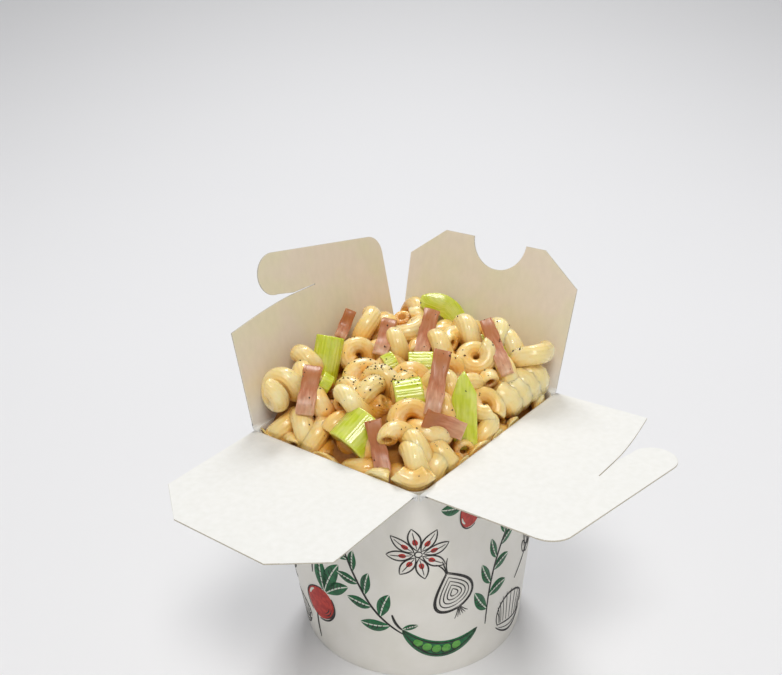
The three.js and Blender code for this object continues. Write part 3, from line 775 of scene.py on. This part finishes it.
# Where each drawing is: way round the wall from the middle of the +X side, height, turn and size
WALL_PRINT = [
    ("wheat_ear", -98, 62, 22, 0.95), ("radish", -92, 25, -24, 1.0), ("shell_pasta", -72, 76, 10, 0.9),
    ("bay_sprig", -66, 40, 38, 1.0), ("star_anise", -44, 66, 0, 0.9), ("pea_pod", -36, 18, -14, 0.9),
    ("onion_half", -30, 43, 16, 0.9), ("radish", -18, 74, 40, 0.8), ("bay_sprig", -4, 38, -30, 1.0),
    ("shell_pasta", 6, 14, -12, 0.85), ("olives", 10, 74, 0, 1.0), ("wheat_ear", 24, 44, -24, 0.9),
    ("pea_pod", 40, 78, 30, 0.9), ("onion_half", 48, 22, 0, 0.9), ("star_anise", 54, 52, 20, 0.9),
    ("radish", 74, 72, -30, 0.9), ("bay_sprig", 80, 32, 24, 1.0), ("shell_pasta", 98, 58, 20, 1.0),
    ("olives", 102, 22, 10, 1.0), ("wheat_ear", 120, 60, 12, 1.0), ("pea_pod", 138, 22, 14, 1.0),
    ("onion_half", 148, 80, -10, 0.75), ("star_anise", 148, 50, 0, 0.9), ("olives", -122, 78, 8, 0.9),
    ("onion_half", -118, 38, 20, 0.9), ("shell_pasta", -112, 12, 0, 0.8), ("bay_sprig", -144, 26, -60, 0.9),
    ("pea_pod", -146, 66, -40, 0.9),
]
# The same on a flap: place along the fold, height above it, turn and size
FLAP_PRINT = [
    ("wheat_ear", -26, 20, 16, 0.6), ("shell_pasta", 2, 30, 8, 0.7), ("pea_pod", 18, 12, 10, 0.7),
    ("star_anise", -6, 10, 12, 0.5), ("onion_half", 25, 28, -14, 0.55),
]


def on_wall(way, height, proud):
    """Points outside the wall. The loft of base circle and mouth is straight from bottom to top and its
    facets keep their direction, so every length round it is a mix of the two outlines' own. The way
    round is given as at half height, from the middle of the +X side."""
    rings = spread([wall_ring(wall_columns(CORNER_STEPS), z, -proud) for z in (0, HEIGHT)], SIDE_PARTS)
    rings = np.concatenate([rings, rings[:, :1]], 1)
    lengths = np.linalg.norm(np.diff(rings, axis=1, prepend=rings[:, :1]), axis=2)
    share = height[:, None] / HEIGHT
    travelled = np.cumsum(lengths[0]) * (1 - share) + np.cumsum(lengths[1]) * share
    girth = MOUTH_X + MOUTH_Y + (np.pi - 4) * MOUTH_CORNER + np.pi * BASE_RADIUS
    start = (MOUTH_Y / 2 - MOUTH_CORNER) * share[:, 0]
    at = np.mod(way * travelled[:, -1] / girth - start, travelled[:, -1])
    place = np.sum(travelled <= at[:, None], axis=1) - 1
    row = np.arange(len(at))
    before, after = travelled[row, place], travelled[row, place + 1]
    part = ((at - before) / np.maximum(after - before, 1e-9))[:, None]
    low, high = rings[:, place] * (1 - part) + rings[:, place + 1] * part
    return low * (1 - share) + high * share


def make_print(name, body, place, layout, inks):
    """One sheet of ribbons for a body: each drawing is turned, sized and laid on the board."""
    points, faces, slots, count = [], [], [], 0
    for drawing, way, height, turn, size in layout:
        c, s = unit(turn)
        for ink_name, path, half in DRAWINGS[drawing]():
            across = int(np.ceil(half.max() * size / INK_STEP)) + 1
            step = np.gradient(path, axis=0)
            left = np.stack([-step[:, 1], step[:, 0]], -1) / np.linalg.norm(step, axis=1)[:, None]
            shares = np.linspace(-1, 1, across)[None, :, None]
            flat = path[:, None] + left[:, None] * half[:, None, None] * shares
            flat = flat.reshape(-1, 2) * size @ np.array([[c, s], [-s, c]])
            points.append(place(way + flat[:, 0], height + flat[:, 1], INKS[ink_name][2]))
            quads = grid_faces(len(path), across, closed=False)[:, ::-1]
            faces.append(quads + count)
            slots += [list(INKS).index(ink_name)] * len(quads)
            count += len(flat)
    piece = new_piece(name, np.concatenate(points), np.concatenate(faces), inks, body=body, slots=slots)
    film = piece.modifiers.new("film", "SOLIDIFY")
    film.thickness = INK_FILM * MM
    film.offset = -1


# The food

def skin(x, y):
    """Height of the heap above the mouth: nothing at the two front folds, and full behind them."""
    from_plain, from_hooked = y + MOUTH_Y / 2, MOUTH_X / 2 - x
    near = -EDGE_BLEND * np.log(np.exp(-from_plain / EDGE_BLEND) + np.exp(-from_hooked / EDGE_BLEND))
    return HEAP_RISE * (1 - np.exp(-np.maximum(near, 0) / RUN_UP))


def keep_in(points):
    """Presses soft food back where it would pass the board: below the mouth it stays inside the wall,
    above it inside the two raised flaps, and it may hang a little over the two open folds."""
    up = points[:, 2] - HEIGHT
    share = np.clip(points[:, 2:] / HEIGHT, 0, 1)
    radius = BASE_RADIUS * (1 - share) + MOUTH_CORNER * share - BOARD - GAP
    reach = np.array([MOUTH_X / 2 - MOUTH_CORNER, MOUTH_Y / 2 - MOUTH_CORNER]) * share
    # The overhang grows from nothing to all of itself between 0.5 and 2 mm above the mouth
    over_fold = OVERHANG * np.clip((up - 0.5) / 1.5, 0, 1)
    raised_sides = (0, "flap_back_left", points[:, 0] < 0), (1, "flap_back_right", points[:, 1] > 0)
    for axis, name, raised in raised_sides:
        lean = np.maximum(up, 0) / np.tan(np.radians(FLAPS[name]["angle"]))
        reach[:, axis] += np.where(raised, lean, over_fold)
    flat = points[:, :2]
    past = np.maximum(np.abs(flat) - reach, 0)
    size = np.linalg.norm(past, axis=1, keepdims=True)
    free = radius - SQUEEZE
    pressed = radius - SQUEEZE * np.exp(np.minimum(free - size, 0) / SQUEEZE)
    past *= np.where(size > free, pressed / np.maximum(size, 1e-9), 1)
    return np.concatenate([np.sign(flat) * (np.minimum(np.abs(flat), reach) + past), points[:, 2:]], 1)


def coils(rows, q):
    """Middle line of each corkscrew at shares q of its length, with the directions away from its axis
    and along the line: along the axis at an even rate and round a circle, then turned and moved."""
    rows = np.asarray(rows, float)
    _, _, turns, start, coil, pitch = rows[:, 3:9].T[..., None]
    angle = np.radians(start) + 2 * np.pi * turns * q
    radial = np.stack([0 * angle, np.cos(angle), np.sin(angle)], -1)
    own = radial * coil[..., None]
    own[..., 0] = pitch * turns * (q - 0.5)
    ahead = np.stack([0 * angle + pitch / (2 * np.pi), -coil * np.sin(angle), coil * np.cos(angle)], -1)
    ahead /= np.linalg.norm(ahead, axis=-1, keepdims=True)
    rotation = turned(rows[:, 3], rows[:, 4], 0 * rows[:, 3])
    own, radial, ahead = (np.einsum("pij,pqj->pqi", rotation, part) for part in (own, radial, ahead))
    return own + rows[:, None, :3] + [0, 0, HEIGHT], radial, ahead


def tubes(rows, around, steps, radius):
    """Hollow corkscrews. Rings follow the middle line: from a plug inside one bore, out over the
    rounded cut end, along the outside and in again at the other end. Each ring is a circle across
    the line, with its first point away from the coil's axis."""
    rows = np.asarray(rows, float)
    turns, coil, pitch = rows[:, 5], rows[:, 7], rows[:, 8]
    length = turns * np.hypot(2 * np.pi * coil, pitch)
    # Distance from the cut end, and share of the tube's radius, from the plug to the outside
    end_s = np.array([5.0, 5.0, 2.0, 0.35, 0.05, 0.0, 0.05, 0.3, 0.8])
    end_r = np.array([0.02, 0.42, 0.45, 0.46, 0.52, 0.68, 0.88, 0.97, 1.0])
    ends = end_s / length[:, None]
    body = ends[:, -1:] + (1 - 2 * ends[:, -1:]) * np.linspace(0, 1, steps + 2)[1:-1]
    q = np.concatenate([ends, body, 1 - ends[:, ::-1]], 1)
    swell = np.concatenate([end_r, np.ones(steps), end_r[::-1]])
    middle, radial, ahead = coils(rows, q)
    first = radial - ahead * np.einsum("pqi,pqi->pq", radial, ahead)[..., None]
    first /= np.linalg.norm(first, axis=-1, keepdims=True)
    second = np.cross(ahead, first)
    angle = 2 * np.pi * np.arange(around) / around
    # The tube was bent while soft: a little flatter towards the coil's axis, and never quite even
    flat, broad, pressed, uneven, wave = 0.96, 1.04, 1.36, 0.035, 4.1
    size = radius[:, None] * swell * (1 + uneven * np.sin(q * length[:, None] / wave + 9 * radius[:, None]))
    size = size[..., None, None]
    # In the long one the turns are pressed together, so its tube is wider along the coil's axis
    broad = np.where(turns > 2, pressed, broad)[:, None, None, None]
    ring = flat * np.cos(angle)[:, None] * first[..., None, :]
    ring = ring + broad * np.sin(angle)[:, None] * second[..., None, :]
    return middle[..., None, :] + size * ring, q * length[:, None]


def topping_balls():
    """Balls that stand for the toppings while the filling is shaken down: centres and radii."""
    centres, radii = [], []
    strips = [row[:7] for row in HAM]
    strips.append((*SLICE["place"], SLICE["heading"], SLICE["tilt"], SLICE["length"], SLICE["width"]))
    for x, y, up, heading, tilt, length, width in strips:
        ahead = turned(heading, tilt, 0)[:, 0]
        for share in np.linspace(0, 1, 6):
            centres.append(np.array([x, y, HEIGHT + up]) + ahead * length * share)
            radii.append(width * 0.35)
    for x, y, up, heading, tilt, roll, outer, inner, _, length in CELERY:
        axes = turned(heading, tilt, roll)
        for share in np.linspace(-0.4, 0.4, 4):
            centres.append(np.array([x, y, HEIGHT + up]) + axes[:, 0] * (outer + inner) / 2
                           + axes[:, 2] * length * share)
            radii.append((outer - inner) / 2 + 1.5)
    return np.array(centres), np.array(radii)


def apart(balls, others, reach):
    """How deep each ball is in each other one, and the direction out of it."""
    gap = balls[:, None] - others[None]
    distance = np.linalg.norm(gap, axis=-1) + 1e-6
    return np.maximum(reach - distance, 0), gap / distance[..., None]


def filling():
    """Macaroni for the bare places: two staggered layers on a jittered grid, each piece a chain of
    balls. The balls are pushed apart sideways and down, from each other, the laid pieces and the
    toppings, while each piece is drawn back to its layer. What still cuts a topping is left out."""
    random = np.random.default_rng(SEED)
    jitter, from_side, rounds, longest, thinnest_cut = 1.5, 6.5, 60, 1.2, 2.6
    rows = []
    for layer, depth in enumerate(LAYERS):
        for i in range(-5, 6):
            for j in range(-6, 7):
                x = (i + 0.5 * (j % 2) + 0.33 * layer) * SPACING + random.uniform(-jitter, jitter)
                y = (j + 0.4 * layer) * SPACING * 0.87 + random.uniform(-jitter, jitter)
                heading, tilt = random.uniform(0, 360), random.uniform(-20, 60)
                turns, start = random.uniform(0.6, 1.0), random.uniform(0, 360)
                coil, pitch = random.uniform(4.3, 5.3), random.uniform(7, 9)
                if abs(x) <= MOUTH_X / 2 - from_side and abs(y) <= MOUTH_Y / 2 - from_side:
                    rows.append((x, y, skin(x, y) - depth, heading, tilt, turns, start, coil, pitch))
    rows = np.array(rows)
    home = rows[:, :3].copy()
    share = np.linspace(0.05, 0.95, 7)
    owner = np.repeat(np.arange(len(rows)), len(share))
    laid = coils(MACARONI, np.linspace(0, 1, 12))[0].reshape(-1, 3)
    tops, top_radii = topping_balls()
    for _ in range(rounds):
        balls = coils(rows, share)[0].reshape(-1, 3)
        deep, out = apart(balls, balls, 2 * TUBE)
        push = (out * (deep * (owner[:, None] != owner[None]))[..., None] * 0.5).sum(1)
        deep, out = apart(balls, laid, 2 * TUBE)
        push += (out * deep[..., None]).sum(1)
        deep, out = apart(balls, tops, TUBE + top_radii)
        push += (out * [0.5, 0.5, 0] * deep[..., None] - [0, 0, 1] * deep[..., None]).sum(1)
        move = np.zeros((len(rows), 3))
        np.add.at(move, owner, push)
        move = np.clip(move / len(share), -longest, longest)
        move[:, 2] = np.minimum(move[:, 2], 0)
        rows[:, :3] += move * [0.8, 0.8, 0.6] + (home - rows[:, :3]) * [0.03, 0.03, 0.06]
        balls = coils(rows, share)[0]
        high = (balls[..., 2] - HEIGHT - skin(balls[..., 0], balls[..., 1])).max(1)
        rows[:, 2] -= np.maximum(high + TUBE - 0.5, 0) * 0.5
    deep, _ = apart(coils(rows, share)[0].reshape(-1, 3), tops, TUBE + top_radii)
    cut = deep.max(1).reshape(len(rows), -1).max(1)
    return rows[cut < thinnest_cut]


def make_macaroni(surface):
    """All corkscrews as one mesh, the laid ones finer than the filling, with their own UV (round the
    tube, and along it in metres) and two attributes: depth in the heap, which darkens the colour as
    painted shade, and a tint for each piece."""
    random = np.random.default_rng(SEED + 1)
    points, faces, uvs, depths, tints = [], [], [], [], []
    start = 0
    for rows, around, steps in ((np.array(MACARONI, float), 28, 34), (filling(), 18, 16)):
        radius = TUBE * random.uniform(1.0, 1.08, len(rows))
        made, along = tubes(rows, around, steps, radius)
        count, rings = made.shape[:2]
        each = rings * around
        quads = grid_faces(rings, around)
        faces.append((quads[None] + start + each * np.arange(count)[:, None, None]).reshape(-1, 4))
        ring, place = np.divmod(np.arange(len(quads)), around)
        u = np.broadcast_to((place[:, None] + [0, 1, 1, 0]) / around, (count, len(quads), 4))
        v = along[:, ring[:, None] + [0, 0, 1, 1]] * MM
        uvs.append(np.stack([u, v], -1).reshape(-1, 2))
        flat = keep_in(made.reshape(-1, 3))
        # Painted shade: how deep a place lies under the skin, and more where the tube turns to the coil's
        # hollow, darkens its colour
        under = HEIGHT + skin(flat[:, 0], flat[:, 1]) + 2.0 - flat[:, 2]
        hollow = np.tile(0.5 - 0.5 * np.cos(2 * np.pi * np.arange(around) / around), count * rings)
        depths.append(np.clip(under / 20, 0, 1) * 0.75 + 0.25 * hollow)
        tints.append(np.repeat(random.uniform(0, 1, count), each))
        points.append(flat)
        start += count * each
    piece = new_piece("macaroni", np.concatenate(points), np.concatenate(faces), [surface])
    corner_uv(piece, np.concatenate(uvs))
    point_values(piece, "depth", np.concatenate(depths))
    point_values(piece, "tint", np.concatenate(tints))
    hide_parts("macaroni_heap")
    return piece


def make_core(surface):
    """The sauced mass under the pieces that show: rings of the mouth's outline drawn in to the
    middle, at a depth under the skin, with a skirt and a flat underside."""
    underside, hub = 30, 0.04
    levels = (HEIGHT - underside, HEIGHT - CORE_DEPTH)
    low, rim = spread([wall_ring(wall_columns(14), z, BOARD + 3 * GAP) for z in levels], 8)
    rows = [low * [hub, hub, 1], low]
    for share in np.linspace(1, hub, 26):
        xy = rim[:, :2] * share
        lumps = np.sin(xy[:, 0] / 2.9) * np.sin(xy[:, 1] / 3.3 + 1)
        z = HEIGHT + skin(xy[:, 0], xy[:, 1]) - CORE_DEPTH + lumps
        rows.append(np.concatenate([xy, z[:, None]], 1))
    piece = new_piece("sauced_core", np.concatenate(rows), capped_faces(len(rows), len(rim)), [surface])
    face_outwards(piece)


def placed(own, x, y, up, heading, tilt, roll):
    """Points of a piece, turned and moved to its place above the mouth."""
    return np.array([x, y, HEIGHT + up]) + own @ turned(heading, tilt, roll).T


def rounded_section(points, around):
    """Evenly spaced points on a closed polygon of (x, y) corners."""
    closed = np.concatenate([points, points[:1]])
    length = np.concatenate([[0], np.cumsum(np.linalg.norm(np.diff(closed, axis=0), axis=1))])
    at = np.linspace(0, length[-1], around, endpoint=False)
    return np.stack([np.interp(at, length, closed[:, k]) for k in range(2)], -1), at


def swept(name, rings, uv, surface, replaced):
    """A closed piece from rings of points; both ends are filled."""
    piece = new_piece(name, rings.reshape(-1, 3), capped_faces(*rings.shape[:2]), [surface])
    corner_uv(piece, uv.reshape(-1, 2))
    face_outwards(piece)
    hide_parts(replaced)
    return piece


def stations(length, near_end, inset, steps):
    """Places along a piece: even ones between the insets, and a few close to each cut end."""
    near_end = np.array(near_end)
    return np.concatenate([near_end, np.linspace(inset, length - inset, steps), length - near_end[::-1]])


def squared(values, power):
    """Values with their sign kept and their size raised to a power: it squares off a round section."""
    return np.sign(values) * np.abs(values) ** power


def make_ham(index, row, surface):
    """A strip: a flat oval section carried along an arc with a ripple across its thickness."""
    x, y, up, heading, tilt, length, width, face, bend_deg, ripple = row
    random = np.random.default_rng(100 + index)
    lip_length, around = 0.35, 40
    along = stations(length, (0, 0.1, lip_length), 0.8, 40)
    angle = 2 * np.pi * np.arange(around) / around
    side, thick = squared(np.cos(angle), 0.35), squared(np.sin(angle), 0.6)
    wobble = 1 + 0.05 * np.sin(along / 2.3 + random.uniform(0, 6)) + 0.03 * np.sin(along / 0.9 + index)
    closing = np.clip(np.minimum(along, length - along) / lip_length, 0.05, 1) ** 0.5
    half_width = width / 2 * wobble * (0.96 + 0.04 * closing)
    lip = 0.35 * np.sin(along / 3.1 + random.uniform(0, 6))[:, None] * side[None] ** 2
    # Muscle fibres stand out as fine cords along the strip
    cords = 0.06 * np.sin(side * width * 2.1 + 0.8 * np.sin(along / 4)[:, None])
    out = (HAM_THICK / 2 * 0.85 + cords) * closing[:, None] * thick[None] + lip
    out = out + (ripple * 1.3 * np.sin(2 * np.pi * 1.5 * along / length))[:, None]
    curve = np.radians(bend_deg) / length
    turn = curve * along[:, None]
    px = np.sin(turn) / curve - out * np.sin(turn)
    pz = (1 - np.cos(turn)) / curve + out * np.cos(turn)
    py = half_width[:, None] * side[None]
    own = np.stack([px, np.broadcast_to(py, px.shape), pz], -1)
    rings = placed(own, x, y, up, heading, tilt, face)
    uv = np.stack([np.broadcast_to(along[:, None], px.shape), np.broadcast_to(py, px.shape)], -1) * MM
    piece = swept(f"ham_{index}", rings, uv, surface, f"ham_strip_{index}")
    low = 1 - along / length
    point_values(piece, "roast", np.repeat(np.clip(1.4 - 2 * low, 0, 1), around))
    point_values(piece, "cream", np.repeat(np.clip(2.2 * low - 1.2, 0, 1), around))
    return piece


def make_celery(index, row, surface):
    """A gutter's slice: a ring sector with rounded edges and strings on its back, carried along
    the stalk; the cut ends are slightly drawn in."""
    x, y, up, heading, tilt, roll, outer, inner, spread_deg, length = row
    half = np.radians(spread_deg) / 2
    back = np.linspace(-half, half, 40)
    strings = outer + 0.12 * np.cos(back * outer * 2 * np.pi / 1.5) - 0.1
    outside = np.stack([strings * np.cos(back), strings * np.sin(back)], -1)
    inside = np.stack([inner * np.cos(back[::-1]), inner * np.sin(back[::-1])], -1)
    middle, thick = (outer + inner) / 2, (outer - inner) / 2
    cap = np.linspace(0, np.pi, 8)[1:-1]
    ends = []
    for sign, sweep in ((1, cap), (-1, cap[::-1])):
        radius = middle + thick * np.cos(sweep)
        angle = sign * (half + 0.6 * thick * np.sin(sweep) / middle - 0.05)
        ends.append(np.stack([radius * np.cos(angle), radius * np.sin(angle)], -1))
    section, at = rounded_section(np.concatenate([outside, ends[0], inside, ends[1]]), 96)
    lip_length = 0.4
    along = stations(length, (0, 0.12, lip_length), 0.9, 18)
    drawn = 1 - 0.06 * (1 - np.clip(np.minimum(along, length - along) / lip_length, 0, 1)) ** 2
    centre = section.mean(0)
    taper = 1 + 0.05 * (along / length - 0.5)
    flat = centre + (section[None] - centre) * (drawn * taper)[:, None, None]
    along = np.broadcast_to(along[:, None], flat.shape[:2])
    own = np.concatenate([flat, along[..., None] - length / 2], -1)
    rings = placed(own, x, y, up, heading, tilt, roll)
    uv = np.stack([np.broadcast_to(at, along.shape), along], -1) * MM
    return swept(f"celery_{index}", rings, uv, surface, f"celery_piece_{index}")


def make_slice(surface):
    """The flat slice: a blade whose two edges are functions of the way along it."""
    length, width, thick = SLICE["length"], SLICE["width"], SLICE["thick"]
    q = np.linspace(0, 1, 40)
    low = np.interp(q, [0, 0.72, 1.0], [-1, -1, -0.1]) * width / 2
    high = np.interp(q, [0, 0.12, 0.67, 0.92, 1.0], [0.75, 0.9, 1.0, 0.45, -0.02]) * width / 2
    angle = 2 * np.pi * np.arange(28) / 28
    side, up = squared(np.cos(angle), 0.4), squared(np.sin(angle), 0.5)
    closing = np.clip(np.minimum(q, 1 - q) * length / 0.5, 0.1, 1) ** 0.5
    py = ((low + high) / 2)[:, None] + ((high - low) / 2)[:, None] * side
    pz = thick / 2 * closing[:, None] * up + (0.25 * np.sin(q * 4))[:, None]
    px = np.broadcast_to((q * length)[:, None], py.shape)
    rings = placed(np.stack([px, py, pz], -1), *SLICE["place"], SLICE["heading"], SLICE["tilt"], 0)
    uv = np.stack([py, px], -1) * MM
    return swept("celery_slice_cut", rings, uv, surface, "celery_slice")


def make_pepper(surface, under):
    """Shards of pepper dropped straight down on the food: most in one spot, the rest all over."""
    random = np.random.default_rng(SEED + 2)
    graph = bpy.context.evaluated_depsgraph_get()
    trees = [BVHTree.FromObject(piece, graph) for piece in under]
    near_spot = random.normal((-1, -15), (9, 8), (240, 2))
    spots = np.concatenate([near_spot, random.uniform((-38, -44), (38, 44), (210, 2))])
    drop_from, from_side, steepest, deepest = 0.2, 3, 0.15, 9
    shards, faces = [], []
    octahedron = np.array([[1, 0, 0], [-1, 0, 0], [0, 1, 0], [0, -1, 0], [0, 0, 1], [0, 0, -1.0]])
    upper = [[0, 2, 4], [2, 1, 4], [1, 3, 4], [3, 0, 4]]
    sides = np.array(upper + [[2, 0, 5], [1, 2, 5], [3, 1, 5], [0, 3, 5]])
    for x, y in spots:
        size = 0.18 + 0.55 * random.random() ** 2
        shape = octahedron * random.uniform(0.4, 1.1, (6, 3)) * size
        spin = turned(random.uniform(0, 360), random.uniform(-90, 90), random.uniform(0, 360))
        if abs(x) > MOUTH_X / 2 - from_side or abs(y) > MOUTH_Y / 2 - from_side:
            continue
        above = Vector((x * MM, y * MM, drop_from))
        hits = [tree.ray_cast(above, Vector((0, 0, -1)))[:2] for tree in trees]
        hits = [hit for hit in hits if hit[0] is not None]
        if not hits:
            continue
        place, normal = max(hits, key=lambda hit: hit[0].z)
        if normal.z >= steepest and place.z / MM >= HEIGHT + skin(x, y) - deepest:
            faces.append(sides + 6 * len(shards))
            shards.append(np.array(place) / MM + shape @ spin.T)
    piece = new_piece("pepper", np.concatenate(shards), np.concatenate(faces), [surface], smooth=False)


# The scene

def studio():
    """A long pale paper sweep that rises in a quarter circle, a soft box behind the object and one over
    it, and a weak warm fill from the front."""
    in_front, half_width, top = 1.5, 4.0, 4.0
    angle = np.linspace(0, np.pi / 2, 24)
    curve = zip(SWEEP_START + SWEEP_RADIUS * np.sin(angle), SWEEP_RADIUS * (1 - np.cos(angle)))
    profile = [(-in_front, 0.0), *curve, (SWEEP_START + SWEEP_RADIUS, top)]
    right, back = unit(AZIMUTH), unit(AZIMUTH + 90)
    points = [(*(back * d + right * side), z) for d, z in profile for side in (-half_width, half_width)]
    faces = [(2 * i, 2 * i + 1, 2 * i + 3, 2 * i + 2) for i in range(len(profile) - 1)]
    paper = bpy.data.meshes.new("sweep")
    paper.from_pydata(points, [], faces)
    paper.polygons.foreach_set("use_smooth", [True] * len(paper.polygons))
    # Painted shade: the paper's colour darkens towards its far end, standing in for the light falling off
    # there
    made, tree, place = material("matt_white_paper_sweep_painted_falloff", Roughness=0.9)
    far = node(tree, "VectorMath", {0: place, 1: (*back, 0)}, "Value", operation="DOT_PRODUCT")
    far = node(tree, "MapRange", {0: far, 1: 0.3, 2: 2.6})
    pale = node(tree, "ValToRGB", {0: far}, stops=[(0.0, "#ECECEE"), (1.0, "#D4D4D5")])
    paper.materials.append(finished(made, Base_Color=pale))
    in_scene("sweep", paper)
    for name, where, size, power, tint in LIGHTS:
        light = bpy.data.lights.new(name, "AREA")
        light.size = size
        light.energy = power
        light.color = colour(tint)[:3]
        lamp = in_scene(name, light)
        lamp.location = where
        lamp.rotation_euler = (Vector(AIM) - Vector(where)).to_track_quat("-Z", "Y").to_euler()
    world = bpy.data.worlds.new("studio")
    world.use_nodes = True
    sky = world.node_tree.nodes["Background"]
    sky.inputs["Color"].default_value = colour(SKY)
    sky.inputs["Strength"].default_value = SKY_STRENGTH
    bpy.context.scene.world = world


def camera():
    """The photograph's view: azimuth, elevation and roll in degrees, distances in millimetres from
    a point on the Z axis, and the focal length in pixels of a picture 782 wide."""
    azimuth, elevation, roll = np.radians([AZIMUTH, 23.94, -1.62])
    distance, sideways, level, focal, width = 393.68, -6.455, 128.19, 1005.87, 782
    level_right = np.array([np.cos(azimuth), np.sin(azimuth), 0])
    towards = np.array([np.sin(azimuth), -np.cos(azimuth), 0])
    back = towards * np.cos(elevation) + UP * np.sin(elevation)
    above = np.cross(back, level_right)
    right = np.cos(roll) * level_right + np.sin(roll) * above
    up = -np.sin(roll) * level_right + np.cos(roll) * above
    place = UP * level + level_right * sideways + back * distance
    data = bpy.data.cameras.new("camera")
    data.sensor_width = 36.0
    data.sensor_fit = "HORIZONTAL"
    data.lens = focal * data.sensor_width / width
    data.clip_start = 0.01
    view = in_scene("camera", data)
    turn = Matrix(np.stack([right, up, back], 1).tolist()).to_4x4()
    view.matrix_world = Matrix.Translation(Vector(place * MM)) @ turn
    bpy.context.scene.camera = view


camera()
studio()
bpy.context.scene.view_settings.view_transform = "Standard"

coated, bare, edge = coated_board(), bare_board(), board_edge()
inks = [ink(name + "_ink", dark, light) for name, (dark, light, _) in INKS.items()]
make_box(coated, bare, edge)
make_print("box_print", BODY, on_wall, WALL_PRINT, inks)
for flap_name, flap in FLAPS.items():
    low, high = make_flap(flap_name, flap, coated, bare, edge)
    make_fold(flap_name, flap, low, high, bare)
    make_print(flap_name + "_print", flap_name,
               lambda u, v, proud: on_flap(flap, -u, v, -BOARD / 2 - proud), FLAP_PRINT, inks)

pasta = boiled_macaroni()
macaroni = make_macaroni(pasta)
make_core(sauced_core())
meat = cooked_ham()
toppings = [make_ham(i + 1, row, meat) for i, row in enumerate(HAM)]
stalk = blanched_celery()
toppings += [make_celery(i + 1, row, stalk) for i, row in enumerate(CELERY)]
toppings.append(make_slice(stalk))
make_pepper(ground_pepper(), [macaroni, *toppings])
